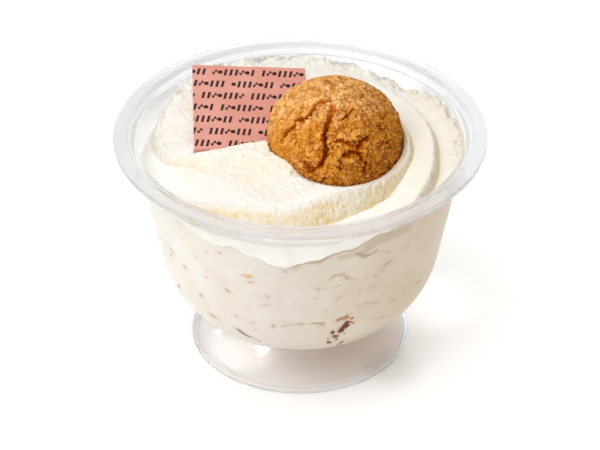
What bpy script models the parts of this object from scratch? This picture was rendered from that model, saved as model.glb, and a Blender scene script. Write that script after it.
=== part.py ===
"""A chipolata pudding in a clear plastic footed cup.

Light pudding fills the cup, whipped cream is swirled over it, and a pink chocolate square and a
cracked almond macaroon sit in the cream. Sizes are in millimetres and angles in degrees, and
MM turns a size into metres. The origin is the middle of the foot, on the table. The front is -Y.
"""
import math

import bmesh
import bpy
import numpy as np
from mathutils import Matrix, Vector

MM = 0.001
GAP = 0.3                    # clearance between pieces that touch

# The cup
SEGMENTS = 54                # sides of the turned pieces
RIM_RADIUS = 50.5
RIM_TOP = 66.25
FLANGE_THICKNESS = 1.3
FLANGE_FALL = 0.4            # the flange slopes down to its edge by this much
ROUNDED = 0.35               # rounding of the cup's corners
CROWN_RADIUS = 46.9          # the flange's highest ring, just inside which the wall begins
LEDGE_RADIUS = 45.7
LEDGE_HEIGHT = 65.2
WALL = 1.1
SHOULDER_HEIGHT = 30.0       # above it the wall is a straight taper, below it the bowl rounds in
SHOULDER_RADIUS = 38.6
TAPER = 0.192                # outward run of the wall for each millimetre of height
BOWL_BOTTOM = 8.0
FLOOR_HEIGHT = 9.4
ROUNDING_UP = 2.2            # exponents of the bowl's rounding, along its height
ROUNDING_OUT = 3.7           # and along its radius
ROUNDING_STEPS = 9
FOOT_RADIUS = 30.6
FOOT_EDGE = 1.5
WAIST_FOOT = (14.5, 7.2)     # radius and height where the flared foot meets the waist
FLARE = 1.9
FLARE_RADII = (14.5, 17, 20.5, 25, 29.4)
FOOT_THICKNESS = 1.2
FOOT_RING = 1.3              # width of the ring that the cup stands on

# Where pudding meets cream: angle, and height at the wall
LAYER_LINE = ((-136, 56.1), (-127, 54.0), (-114, 54.5), (-106, 53.4), (-97, 50.2), (-88, 50.3),
              (-80, 52.5), (-70, 55.1), (-55, 56.7), (-20, 55.5), (20, 54.0), (70, 55.5),
              (120, 54.0), (165, 52.5), (195, 53.5))
LAYER_CENTRE = 53.0
LAYER_ANGLES = np.arange(2.2, 360, 6)
LAYER_BLEND = ((50, 1), (40, 1), (34, 0.55), (22, 0.1))   # radius, share of the wall's wave there

# Cream along the wall: angle, height at the wall, height eight millimetres further in
CREAM_EDGE = ((-180, 56.6, 59.0), (-150, 57.2, 59.8), (-120, 58.2, 60.3), (-90, 58.5, 59.4),
              (-60, 59.6, 60.0), (-35, 61.0, 60.8), (-10, 62.2, 60.6), (15, 62.4, 60.8),
              (32, 62.6, 61.4), (45, 60.0, 61.6), (60, 61.6, 62.4), (80, 64.0, 63.6),
              (105, 64.8, 64.0), (125, 65.0, 64.0), (142, 62.8, 63.0), (156, 57.0, 61.0))
CREAM_EDGE_RADIUS = 43.3
CREAM_EDGE_BAND = 8.0
CREAM_RINGS = 58             # grid over which the folds are worked out
CREAM_SIDES = 150
CREAM_GRID_RADIUS = 47.0
CREAM_GRID_TURN = 0.37       # in steps of the grid, so that no side lies along the cup's facets
CREAM_BOTTOM = 44.0
CREAM_KEPT = 0.165           # share of the grid's triangles that the folds need

# Crests of the swirl's folds, wound inwards: angle, radius, height, steepness of the outer face
FOLD_INNER = ((138, 42.4, 63.5, 1.6), (162, 40.4, 61.5, 1.8), (179, 37.2, 61.0, 1.2),
              (190, 32.8, 61.5, 0.7), (194.3, 25.6, 63.0, 0.5), (206, 16.5, 64.5, 0.45),
              (228, 14.2, 65.0, 0.45), (261, 14.3, 66.0, 0.5))
FOLD_MIDDLE = ((212, 42.5, 59.0, 0.6), (226, 38.1, 61.0, 0.6), (243, 34.8, 62.0, 0.65),
               (264, 33.3, 63.5, 0.9), (286, 30.0, 65.3, 1.2), (312, 30.2, 66.0, 2.0),
               (341, 29.3, 66.0, 2.4), (380, 27.5, 64.5, 2.0), (415, 26.0, 64.0, 1.5))
FOLD_OUTER = ((286, 43.8, 59.6, 1.6), (309, 41.9, 61.5, 2.0), (330, 39.0, 64.0, 2.4),
              (352, 36.0, 64.0, 2.6), (387, 34.6, 64.0, 2.2), (430, 33.5, 64.8, 1.6),
              (475, 34.5, 65.2, 1.2))
FOLD_TUCK = ((192, 24.0, 62.8, 0.5), (199, 16.3, 65.0, 0.6), (214, 9.8, 66.0, 0.7),
             (248, 9.0, 66.0, 0.6))
INWARD_SLOPES = (0.05, 0.07, 0.28, 0.35)
CREST_ROUNDING = 0.7
FOLD_END_SLOPE = 0.6
FOLD_SAMPLES = 16            # path points between two crest points

# The chocolate square: its front left corner, its side and its lie
PLAQUE_SIDE = 31.3
PLAQUE_THICKNESS = 1.8
PLAQUE_CORNER = Vector((-28.5, -5.1, 63.5))
PLAQUE_NORMAL = Vector((0.089, -0.261, 0.961)).normalized()
PLAQUE_EDGE = Vector((31.2, 2.0, -2.36)).normalized()
PLAQUE_BED_DEPTH = 1.1       # how far the cream under the square reaches below its face
PLAQUE_BED_INSET = 4.0       # and how far inside its edges it ends
PLAQUE_BED_SLOPE = 1.6
PLAQUE_HEADROOM = 12         # no cream stands on the square
PLAQUE_SOFTNESS = 0.25       # rounding of its edges

# The macaroon: it lies parallel to the square, partly on it
MACAROON_RADIUS = 18.3
MACAROON_DOME = 13.4
MACAROON_UNDERSIDE = 3.6
MACAROON_BASE_RADIUS = 14.0
SIDE_FULLNESS = 0.92         # under 1 the dome's side is fuller than an ellipse
BASE_TURN = 0.75             # share of the lower half turn at which the flat base begins
MACAROON_PLACE = (9.4, -1.4)
MACAROON_BUMPS = 0.35
MACAROON_KEPT = 0.125        # share of the ball's triangles that the crust needs
HOLLOW_LIFT = 1.0            # the cream before it starts this far above its widest line
HOLLOW_SLOPE = 0.62          # and rises from there
CRACK_DEPTH = 1.5
CRACK_WIDTH = 0.75
# Crack paths over the dome, as seen from above it: right and back from its middle
CRACKS = (((-2.3, -2.0), (-2.5, -5.0), (-4.2, -8.5), (-4.4, -12.5), (-5.6, -15.9)),
          ((-3.2, 0.9), (-5.7, 0.5), (-8.0, -2.6), (-9.8, -4.3), (-11.2, -3.7)),
          ((7.4, -9.6), (6.1, -11.3), (4.1, -13.2), (0.8, -14.7)),
          ((4.8, -13.9), (7.1, -15.5)))

# Fruit pressed against the wall: angle, height, half sizes around, inwards and up, and lean
FRUIT = {"raisin": (-75.5, 26.0, 1.7, 1.6, 4.8, -12),
         "raisin_sliver": (-115.7, 20.5, 0.75, 1.1, 2.8, 28),
         "candied_peel": (-110.0, 45.0, 1.4, 1.2, 1.0, -15)}

COLOURS = {                  # base colour, roughness
    "cup": ((0.93, 0.94, 0.95), 0.08),
    "pudding": ((0.86, 0.76, 0.62), 0.45),
    "whipped_cream": ((0.96, 0.93, 0.83), 0.55),
    "chocolate_square": ((0.80, 0.38, 0.30), 0.35),
    "almond_macaroon": ((0.58, 0.27, 0.08), 0.75),
    "raisin": ((0.10, 0.03, 0.015), 0.4),
    "raisin_sliver": ((0.10, 0.03, 0.015), 0.4),
    "candied_peel": ((0.85, 0.45, 0.12), 0.35),
}


def clear_scene():
    """Remove every object, so that the script starts from nothing."""
    for item in list(bpy.data.objects):
        bpy.data.objects.remove(item, do_unlink=True)


def material(name):
    """One plain material with the piece's colour and roughness."""
    colour, roughness = COLOURS[name]
    made = bpy.data.materials.new(name)
    made.use_nodes = True
    shader = made.node_tree.nodes["Principled BSDF"]
    shader.inputs["Base Color"].default_value = (*colour, 1.0)
    shader.inputs["Roughness"].default_value = roughness
    shader.inputs["Metallic"].default_value = 0.0
    if name == "cup":
        shader.inputs["Transmission Weight"].default_value = 0.9
    return made


def add_object(name, mesh, guide=False):
    """Put a mesh in the scene, as a finished piece or as a hidden guide."""
    made = bpy.data.objects.new(name, mesh)
    bpy.context.collection.objects.link(made)
    if guide:
        made.hide_render = True
        made.display_type = "WIRE"
    else:
        mesh.materials.append(material(name))
        mesh.shade_smooth()
        mesh.set_sharp_from_angle(angle=math.radians(50))
    return made


def turned(name, profile, guide=False):
    """Turn an outline of (radius, height) points, both ends on the axis, about Z."""
    form = bmesh.new()
    points = [form.verts.new((radius * MM, 0, height * MM)) for radius, height in profile]
    edges = [form.edges.new(pair) for pair in zip(points, points[1:])]
    bmesh.ops.spin(form, geom=points + edges, cent=(0, 0, 0), axis=(0, 0, 1),
                   angle=math.tau, steps=SEGMENTS, use_merge=True, use_duplicate=False)
    bmesh.ops.remove_doubles(form, verts=form.verts, dist=0.001 * MM)
    bmesh.ops.recalc_face_normals(form, faces=form.faces)
    mesh = bpy.data.meshes.new(name)
    form.to_mesh(mesh)
    form.free()
    return add_object(name, mesh, guide)


def polar_solid(name, rows, guide=False):
    """Close rows of points, each a ring about Z, into a solid with a pole at either end."""
    rings, sides = rows.shape[:2]
    points = [tuple(rows[0].mean(axis=0) * MM)]
    points += [tuple(point * MM) for ring in rows[1:-1] for point in ring]
    points.append(tuple(rows[-1].mean(axis=0) * MM))
    last = len(points) - 1
    faces = []
    for side in range(sides):
        following = (side + 1) % sides
        faces.append((0, 1 + following, 1 + side))
        for ring in range(rings - 3):
            low = 1 + ring * sides
            high = low + sides
            faces.append((low + side, low + following, high + following, high + side))
        top = 1 + (rings - 3) * sides
        faces.append((top + side, top + following, last))
    mesh = bpy.data.meshes.new(name)
    mesh.from_pydata(points, [], faces)
    mesh.update()
    return add_object(name, mesh, guide)


def cut(target, tool, operation="DIFFERENCE"):
    """Cut one piece by another with an exact Boolean."""
    step = target.modifiers.new(operation.title(), "BOOLEAN")
    step.operation = operation
    step.solver = "EXACT"
    step.object = tool


def even_shading(body):
    """Shade a cut piece by its large faces, so that its cuts leave no streaks on them."""
    shading = body.modifiers.new("Even shading", "WEIGHTED_NORMAL")
    shading.keep_sharp = True


def bowl_curve(bottom, inset):
    """Outline of the bowl's rounded part from its pole to the shoulder, a superellipse."""
    points = []
    for step in range(ROUNDING_STEPS + 1):
        turn = math.pi / 2 * step / ROUNDING_STEPS
        depth = math.cos(turn) ** (2 / ROUNDING_UP) if step < ROUNDING_STEPS else 0.0
        spread = math.sin(turn) ** (2 / ROUNDING_OUT)
        height = SHOULDER_HEIGHT - (SHOULDER_HEIGHT - bottom) * depth
        points.append(((wall_line(height) - inset) * spread, height))
    return points


def wall_line(height):
    """Outer radius of the straight tapered wall, carried on downwards below the shoulder."""
    return SHOULDER_RADIUS + TAPER * (height - SHOULDER_HEIGHT)


def flare(radius):
    """Height of the foot's upper face."""
    waist_radius, waist_height = WAIST_FOOT
    share = (FOOT_RADIUS - radius) / (FOOT_RADIUS - waist_radius)
    return FOOT_EDGE + (waist_height - FOOT_EDGE) * max(share, 0.0) ** FLARE


def cup():
    """The clear cup: bowl with a ledge and a flanged rim, waist and hollow flared foot."""
    neck = LEDGE_HEIGHT - ROUNDED
    inside = bowl_curve(FLOOR_HEIGHT, WALL)
    inside += [(wall_line(neck) - WALL, neck),
               (wall_line(neck) - WALL + ROUNDED, LEDGE_HEIGHT),
               (LEDGE_RADIUS, LEDGE_HEIGHT),
               (CROWN_RADIUS - ROUNDED, RIM_TOP - ROUNDED / 2)]
    flange_high = RIM_TOP - FLANGE_FALL
    flange_low = flange_high - FLANGE_THICKNESS
    fillet = 1.0
    rim = [(CROWN_RADIUS, RIM_TOP),
           (RIM_RADIUS - ROUNDED, flange_high),
           (RIM_RADIUS, flange_high - ROUNDED),
           (RIM_RADIUS, flange_low + ROUNDED),
           (RIM_RADIUS - ROUNDED, flange_low),
           (wall_line(flange_low) + fillet, flange_low),
           (wall_line(flange_low - fillet), flange_low - fillet)]
    outside = bowl_curve(BOWL_BOTTOM, 0)[:0:-1]
    waist_radius = WAIST_FOOT[0]
    foot_top = [(radius, flare(radius)) for radius in FLARE_RADII]
    foot_ring = [(FOOT_RADIUS - ROUNDED, FOOT_EDGE),
                 (FOOT_RADIUS, FOOT_EDGE - ROUNDED),
                 (FOOT_RADIUS, 0),
                 (FOOT_RADIUS - FOOT_RING, 0)]
    hollow = [(radius - FOOT_THICKNESS / 2, flare(radius) - FOOT_THICKNESS)
              for radius in FLARE_RADII[:0:-1]]
    hollow += [(waist_radius - FOOT_THICKNESS, BOWL_BOTTOM - FOOT_THICKNESS),
               (waist_radius - 2 * FOOT_THICKNESS, BOWL_BOTTOM),
               (0, BOWL_BOTTOM)]
    return turned("cup", inside + rim + outside + foot_top + foot_ring + hollow)


def bowl_filling():
    """A guide: everything that fills the cup stays inside this form."""
    outline = bowl_curve(FLOOR_HEIGHT + GAP, WALL + GAP)
    top = RIM_TOP + 10
    outline += [(wall_line(top) - WALL - GAP, top), (0, top)]
    return turned("bowl_filling", outline, guide=True)


def round_table(table, angles):
    """Values of a table of (angle, value, ...) at any angles, smooth all the way round."""
    table = np.array(table, float)
    knots = np.vstack([shifted(table[-2:], -360), table, shifted(table[:2], 360)])
    start = table[0, 0]
    wrapped = (np.asarray(angles, float) - start) % 360 + start
    place = np.searchsorted(knots[:, 0], wrapped, side="right") - 1
    place = np.clip(place, 1, len(knots) - 3)
    share = (wrapped - knots[place, 0]) / (knots[place + 1, 0] - knots[place, 0])
    return blend_knots(knots[:, 1:], place, share)


def shifted(table, turn):
    """The same table rows, some whole turns further round."""
    moved = table.copy()
    moved[:, 0] += turn
    return moved


def blend_knots(values, place, share):
    """Catmull-Rom blend of the rows of values at place + share."""
    share = share[..., None]
    before, here, after, beyond = (values[place + step] for step in (-1, 0, 1, 2))
    return 0.5 * (2 * here + (after - before) * share
                  + (2 * before - 5 * here + 4 * after - beyond) * share ** 2
                  + (3 * here - before - 3 * after + beyond) * share ** 3)


def fold_path(crest):
    """Smooth points along a crest: x, y, height and steepness."""
    crest = np.array(crest, float)
    ends = np.vstack([2 * crest[0] - crest[1], crest, 2 * crest[-1] - crest[-2]])
    count = (len(crest) - 1) * FOLD_SAMPLES
    along = np.arange(count + 1) / FOLD_SAMPLES
    place = np.minimum(along.astype(int), len(crest) - 2) + 1
    path = blend_knots(ends, place, along - place + 1)
    turn = np.radians(path[:, 0])
    return np.column_stack([path[:, 1] * np.cos(turn), path[:, 1] * np.sin(turn), path[:, 2:]])


def fold_height(across, crest, inward_slope):
    """Height of one fold: a rounded crest, steep on its outer side and gentle on its inner."""
    path = fold_path(crest)
    step = np.gradient(path[:, :2], axis=0)
    step /= np.linalg.norm(step, axis=1)[:, None]
    reach = across[..., None, :] - path[:, :2]
    nearest = (reach ** 2).sum(axis=-1).argmin(axis=-1)
    offset = np.take_along_axis(reach, nearest[..., None, None], axis=-2)[..., 0, :]
    along = step[nearest]
    outward = offset[..., 0] * along[..., 1] - offset[..., 1] * along[..., 0]
    past_end = np.abs((offset * along).sum(axis=-1))
    _, _, height, steepness = np.moveaxis(path[nearest], -1, 0)
    slope = np.where(outward > 0, steepness, inward_slope)
    fall = np.sqrt(outward ** 2 + CREST_ROUNDING ** 2) - CREST_ROUNDING
    return height - slope * fall - FOLD_END_SLOPE * past_end


def plaque_axes():
    """The square's directions: along its front edge, towards its back, and out of its face."""
    normal = PLAQUE_NORMAL
    right = (PLAQUE_EDGE - PLAQUE_EDGE.dot(normal) * normal).normalized()
    return right, normal.cross(right), normal


def plaque_bed_height(across):
    """Height of the cream that carries the square, falling away near the square's edges."""
    right, back, normal = plaque_axes()
    corner = PLAQUE_CORNER
    plane = corner.z - (normal.x * (across[..., 0] - corner.x)
                        + normal.y * (across[..., 1] - corner.y)) / normal.z
    east = ((across[..., 0] - corner.x) * right.x + (across[..., 1] - corner.y) * right.y
            + (plane - corner.z) * right.z)
    north = ((across[..., 0] - corner.x) * back.x + (across[..., 1] - corner.y) * back.y
             + (plane - corner.z) * back.z)
    limit = PLAQUE_SIDE - PLAQUE_BED_INSET
    outside = np.maximum.reduce([PLAQUE_BED_INSET - east, east - limit, north - limit,
                                 -north, np.zeros_like(east)])
    return plane - PLAQUE_BED_DEPTH - PLAQUE_BED_SLOPE * outside


def macaroon_height():
    """Height of the middle of the macaroon's widest line, with its base just on the square."""
    x, y = MACAROON_PLACE
    corner, normal = PLAQUE_CORNER, PLAQUE_NORMAL
    clear = MACAROON_UNDERSIDE + GAP
    return corner.z + (clear - normal.x * (x - corner.x) - normal.y * (y - corner.y)) / normal.z


def macaroon_hollow(across):
    """Height that a fold keeps below, so that it leaves the macaroon's side open."""
    offset = across - np.array(MACAROON_PLACE)
    distance = np.linalg.norm(offset, axis=-1)
    edge = offset * (MACAROON_RADIUS / np.maximum(distance, GAP))[..., None]
    normal = PLAQUE_NORMAL
    level = macaroon_height() - (normal.x * edge[..., 0] + normal.y * edge[..., 1]) / normal.z
    return level + HOLLOW_LIFT + HOLLOW_SLOPE * np.maximum(distance - MACAROON_RADIUS, 0)


def cream_height(across):
    """Height of the cream's upper face over any points (x, y): the highest of its folds."""
    radius = np.hypot(across[..., 0], across[..., 1])
    angle = np.degrees(np.arctan2(across[..., 1], across[..., 0]))
    at_wall, inner = np.moveaxis(round_table(CREAM_EDGE, angle), -1, 0)
    inwards = np.clip((CREAM_EDGE_RADIUS - radius) / CREAM_EDGE_BAND, -0.4, 1.2)
    heights = [at_wall + (inner - at_wall) * inwards, plaque_bed_height(across)]
    folds = (FOLD_INNER, FOLD_MIDDLE, FOLD_OUTER, FOLD_TUCK)
    for crest, inward_slope in zip(folds, INWARD_SLOPES):
        height = fold_height(across, crest, inward_slope)
        if crest is FOLD_MIDDLE:
            height = np.minimum(height, macaroon_hollow(across))
        heights.append(height)
    return np.maximum.reduce(heights)


def layer_solid(name, lift):
    """A guide that reaches from below the bowl up to the line between pudding and cream."""
    at_wall = round_table(LAYER_LINE, LAYER_ANGLES)[:, 0]
    rows = [ring_at(0, 0), ring_at(LAYER_BLEND[0][0], 0)]
    for radius, share in LAYER_BLEND:
        rows.append(ring_at(radius, LAYER_CENTRE + (at_wall - LAYER_CENTRE) * share + lift))
    rows.append(ring_at(0, LAYER_CENTRE + lift))
    return polar_solid(name, np.array(rows), guide=True)


def ring_at(radius, heights):
    """One ring of points about Z, with one height or a height for each point."""
    turn = np.radians(LAYER_ANGLES)
    return np.column_stack([radius * np.cos(turn), radius * np.sin(turn),
                            np.broadcast_to(heights, turn.shape)])


def pudding(filling, fruit_pockets):
    """The pudding: the cup's filling below the wavy line, with pockets for the fruit."""
    mesh = filling.data.copy()
    mesh.name = "pudding"
    body = add_object("pudding", mesh)
    cut(body, layer_solid("pudding_limit", 0), "INTERSECT")
    for pocket in fruit_pockets:
        cut(body, pocket)
    even_shading(body)
    return body


def whipped_cream(filling, cutters):
    """The cream: swirled folds above, the pudding's wavy line below."""
    turn = (np.arange(CREAM_SIDES) + CREAM_GRID_TURN) * math.tau / CREAM_SIDES
    radii = np.linspace(0, CREAM_GRID_RADIUS, CREAM_RINGS)
    across = radii[:, None, None] * np.stack([np.cos(turn), np.sin(turn)], axis=-1)
    top = np.concatenate([across, cream_height(across)[..., None]], axis=-1)
    bottom = np.full((2, CREAM_SIDES, 1), CREAM_BOTTOM)
    under = np.concatenate([across[[0, -1]], bottom], axis=-1)
    body = polar_solid("whipped_cream", np.concatenate([under, top[::-1]]))
    thin = body.modifiers.new("Thin out", "DECIMATE")
    thin.ratio = CREAM_KEPT
    cut(body, filling, "INTERSECT")
    cut(body, layer_solid("cream_limit", GAP))
    for tool in cutters:
        cut(body, tool)
    even_shading(body)
    return body


def noise_waves(points, scale, seed):
    """Uneven bumps between about -1 and 1: a sum of waves in fixed random directions."""
    rng = np.random.default_rng(seed)
    total = np.zeros(len(points))
    waves = 14
    for _ in range(waves):
        direction = rng.normal(size=3)
        direction /= np.linalg.norm(direction)
        length = scale * rng.uniform(0.7, 1.6)
        total += np.sin(points @ direction * math.tau / length + rng.uniform(0, math.tau))
    return total / math.sqrt(waves)


def macaroon_shape(directions, swell):
    """Points of the macaroon for unit directions: a dome above, a flat base below."""
    spread = np.hypot(directions[:, 0], directions[:, 1])
    rise = directions[:, 2]
    down = np.clip(-rise / BASE_TURN, 0, 1)
    base_spread = math.sqrt(1 - BASE_TURN ** 2)
    side = MACAROON_RADIUS + swell - (MACAROON_RADIUS - MACAROON_BASE_RADIUS) * down ** 2
    radius = np.where(rise >= 0, side * spread ** SIDE_FULLNESS,
                      side * np.minimum(spread / base_spread, 1))
    height = np.where(rise >= 0, (MACAROON_DOME + swell) * rise, -(MACAROON_UNDERSIDE + swell) * down)
    flat = directions[:, :2] / np.maximum(spread, 1e-6)[:, None]
    return np.column_stack([flat * radius[:, None], height])


def crack_depth(points):
    """How deep the cracks cut at each point of the dome, looking straight down on it."""
    depth = np.zeros(len(points))
    for crack in CRACKS:
        crack = np.array(crack)
        for start, end in zip(crack, crack[1:]):
            run = end - start
            share = np.clip(((points[:, :2] - start) @ run) / (run @ run), 0, 1)
            away = np.linalg.norm(points[:, :2] - start - share[:, None] * run, axis=1)
            depth = np.maximum(depth, CRACK_DEPTH * np.exp(-(away / CRACK_WIDTH) ** 2))
    return np.where(points[:, 2] > CRACK_DEPTH, depth, 0.0)


def macaroon_matrix():
    """Where the macaroon lies: parallel to the square, its base just clear of the square."""
    right, back, normal = plaque_axes()
    turn = Matrix((right, back, normal)).transposed().to_4x4()
    return Matrix.Translation(Vector((*MACAROON_PLACE, macaroon_height())) * MM) @ turn


def macaroon_mesh(name, detail, swell, relief):
    """A ball of points pushed out to the macaroon's form, with its crust when relief is on."""
    form = bmesh.new()
    bmesh.ops.create_icosphere(form, subdivisions=detail, radius=1)
    directions = np.array([point.co for point in form.verts])
    shape = macaroon_shape(directions, swell)
    if relief:
        outward = shape / np.linalg.norm(shape, axis=1)[:, None]
        upper = np.clip(shape[:, 2] / 4 + 0.6, 0, 1)
        bumps = 0.55 * noise_waves(shape, 6.0, 3) + 0.45 * noise_waves(shape, 2.6, 4)
        bumps = np.clip(bumps, -1, 1) * MACAROON_BUMPS * upper
        shape = shape + outward * (bumps - crack_depth(shape))[:, None]
    for point, place in zip(form.verts, shape):
        point.co = Vector(place) * MM
    mesh = bpy.data.meshes.new(name)
    form.to_mesh(mesh)
    form.free()
    return mesh


def almond_macaroon():
    """The cracked macaroon, and the guide that makes room for it in the cream."""
    body = add_object("almond_macaroon", macaroon_mesh("almond_macaroon", 6, 0, True))
    thin = body.modifiers.new("Thin out", "DECIMATE")
    thin.ratio = MACAROON_KEPT
    room_mesh = macaroon_mesh("macaroon_room", 4, GAP + MACAROON_BUMPS, False)
    room = add_object("macaroon_room", room_mesh, guide=True)
    for item in (body, room):
        item.matrix_world = macaroon_matrix()
    return body, room


def slab(name, size, place, guide=False):
    """A rectangular slab given by its size and by the place of its lowest corner."""
    form = bmesh.new()
    bmesh.ops.create_cube(form, size=1)
    middle = [low + length / 2 for low, length in zip(place, size)]
    for point in form.verts:
        sized = [share * length for share, length in zip(point.co, size)]
        point.co = Vector([a + b for a, b in zip(middle, sized)]) * MM
    mesh = bpy.data.meshes.new(name)
    form.to_mesh(mesh)
    form.free()
    return add_object(name, mesh, guide)


def chocolate_square():
    """The thin chocolate square, and the guide that keeps the cream off it and clear above."""
    body = slab("chocolate_square", (PLAQUE_SIDE, PLAQUE_SIDE, PLAQUE_THICKNESS),
                (0, 0, -PLAQUE_THICKNESS))
    edges = body.modifiers.new("Soft edges", "BEVEL")
    edges.width = PLAQUE_SOFTNESS * MM
    edges.segments = 2
    across = PLAQUE_SIDE + 2 * GAP
    room = slab("square_room", (across, across, PLAQUE_THICKNESS + GAP + PLAQUE_HEADROOM),
                (-GAP, -GAP, -PLAQUE_THICKNESS - GAP), guide=True)
    right, back, normal = plaque_axes()
    turn = Matrix((right, back, normal)).transposed().to_4x4()
    for item in (body, room):
        item.matrix_world = Matrix.Translation(PLAQUE_CORNER * MM) @ turn
    return body, room


def filling_radius(height):
    """Radius of the filling's face at any height."""
    depth = max(SHOULDER_HEIGHT - height, 0) / (SHOULDER_HEIGHT - FLOOR_HEIGHT - GAP)
    spread = (1 - depth ** ROUNDING_UP) ** (1 / ROUNDING_OUT)
    return (wall_line(height) - WALL - GAP) * spread


def fruit_matrix(angle, height, lean):
    """Where a piece of fruit lies: centred on the filling's face and leaning along it."""
    turn = math.radians(angle)
    radius = filling_radius(height)
    slant = math.atan(filling_radius(height + 0.5) - filling_radius(height - 0.5))
    place = Vector((radius * math.cos(turn), radius * math.sin(turn), height))
    return (Matrix.Translation(place * MM) @ Matrix.Rotation(turn, 4, "Z")
            @ Matrix.Rotation(slant, 4, "Y") @ Matrix.Rotation(math.radians(lean), 4, "X"))


def lump(name, half_sizes, guide=False):
    """A ball with a few uneven bumps, drawn out to the given half sizes."""
    form = bmesh.new()
    bmesh.ops.create_icosphere(form, subdivisions=2, radius=1)
    directions = np.array([point.co for point in form.verts])
    uneven = 1 + 0.08 * noise_waves(directions, 1.4, 5)
    for point, share in zip(form.verts, directions * uneven[:, None]):
        point.co = Vector(share * half_sizes) * MM
    mesh = bpy.data.meshes.new(name)
    form.to_mesh(mesh)
    form.free()
    return add_object(name, mesh, guide)


def fruit(name, filling):
    """A piece of fruit cut flush with the wall, and the guide for its pocket."""
    angle, height, around, inwards, up, lean = FRUIT[name]
    half_sizes = np.array([inwards, around, up])
    body = lump(name, half_sizes)
    room = lump(name + "_room", half_sizes + GAP, guide=True)
    for item in (body, room):
        item.matrix_world = fruit_matrix(angle, height, lean)
    cut(body, filling, "INTERSECT")
    return room


def build():
    """Make every piece."""
    clear_scene()
    cup()
    filling = bowl_filling()
    _, square_room = chocolate_square()
    _, macaroon_room = almond_macaroon()
    whipped_cream(filling, (macaroon_room, square_room))
    pudding(filling, [fruit(name, filling) for name in FRUIT])


build()
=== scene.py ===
# The looks of a chipolata pudding in its clear footed cup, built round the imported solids.
# Sizes are in millimetres and angles in degrees; mm turns a size into metres. The front is -Y.
import math

import bpy
import numpy as np
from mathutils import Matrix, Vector


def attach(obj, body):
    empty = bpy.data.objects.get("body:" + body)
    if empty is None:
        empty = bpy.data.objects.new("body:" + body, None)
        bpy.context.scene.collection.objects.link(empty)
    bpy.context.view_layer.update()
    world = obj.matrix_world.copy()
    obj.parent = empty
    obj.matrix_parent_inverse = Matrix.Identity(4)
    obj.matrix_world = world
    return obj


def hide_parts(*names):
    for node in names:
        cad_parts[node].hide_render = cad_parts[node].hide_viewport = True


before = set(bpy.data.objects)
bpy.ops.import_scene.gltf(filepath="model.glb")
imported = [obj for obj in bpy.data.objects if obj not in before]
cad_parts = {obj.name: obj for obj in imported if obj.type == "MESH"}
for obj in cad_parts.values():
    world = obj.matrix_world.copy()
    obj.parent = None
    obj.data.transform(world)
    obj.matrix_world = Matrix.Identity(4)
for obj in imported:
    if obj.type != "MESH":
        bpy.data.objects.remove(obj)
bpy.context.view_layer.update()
mm = 0.001
print("frame loaded:", len(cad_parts), "nodes")


# Helpers for meshes

def makeMesh(name, points, quads, triangles=(), values=None):
    # points in mm become one smooth-shaded object at the origin; values are named numbers per point
    mesh = bpy.data.meshes.new(name)
    faces = np.asarray(quads).tolist() + np.asarray(triangles).tolist()
    mesh.from_pydata(np.asarray(points, float) * mm, [], faces)
    mesh.shade_smooth()
    for label, numbers in (values or {}).items():
        mesh.attributes.new(label, "FLOAT", "POINT").data.foreach_set("value", np.ravel(numbers))
    mesh.update()
    piece = bpy.data.objects.new(name, mesh)
    bpy.context.collection.objects.link(piece)
    return piece


def dress(piece, finish, slot, *nodes):
    # the piece rides on the body, takes its finish, and stands for the named solids
    piece.data.materials.append(finish)
    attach(piece, "root")
    if nodes:
        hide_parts(*nodes)
    return piece


def roundPoints(radius, turn, height):
    # (r cos t, r sin t, z)
    return np.stack(np.broadcast_arrays(radius * np.cos(turn), radius * np.sin(turn), height), -1)


def gridQuads(index):
    # the quads between the points of a grid of indices
    return np.stack([index[:-1, :-1], index[1:, :-1], index[1:, 1:], index[:-1, 1:]], -1).reshape(-1, 4)


def turnedForm(name, form, values=None):
    # a sheet of points (side, step) joined round its axis; its first and its last step are a pole each
    sides, steps = form.shape[:2]
    body = sides * (steps - 2)
    here = np.arange(body).reshape(sides, steps - 2)
    after = np.roll(here, -1, axis=0)
    first = np.stack([np.full(sides, body), after[:, 0], here[:, 0]], -1)
    last = np.stack([np.full(sides, body + 1), here[:, -1], after[:, -1]], -1)
    points = np.concatenate([form[:, 1:-1].reshape(-1, 3), form[0, [0, -1]]])
    spread = {label: np.concatenate([numbers[:, 1:-1].ravel(), numbers[0, [0, -1]]])
              for label, numbers in (values or {}).items()}
    quads = gridQuads(np.vstack([here, here[:1]]))
    return makeMesh(name, points, quads, np.concatenate([first, last]), spread)


def discGrid(count):
    # a square grid (u, v) squeezed to a unit disc: the radius is the larger of |u| and |v|, and
    # each square ring is shared out evenly round the circle
    line = np.linspace(-1, 1, count)
    u, v = np.meshgrid(line, line, indexing="ij")
    across = np.abs(u) >= np.abs(v)
    longer = np.where(across, u, v)
    shorter = np.where(across, v, u)
    share = math.pi / 4 * shorter / np.where(longer == 0, 1, longer)
    angle = np.where(across, share, math.pi / 2 - share)
    return longer * np.cos(angle), longer * np.sin(angle)


def discEdge(count):
    # the grid's outer points in order, counter-clockwise from its first corner
    index = np.arange(count * count).reshape(count, count)
    return np.concatenate([index[:-1, 0], index[-1, :-1], index[:0:-1, -1], index[0, :0:-1]])


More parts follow.
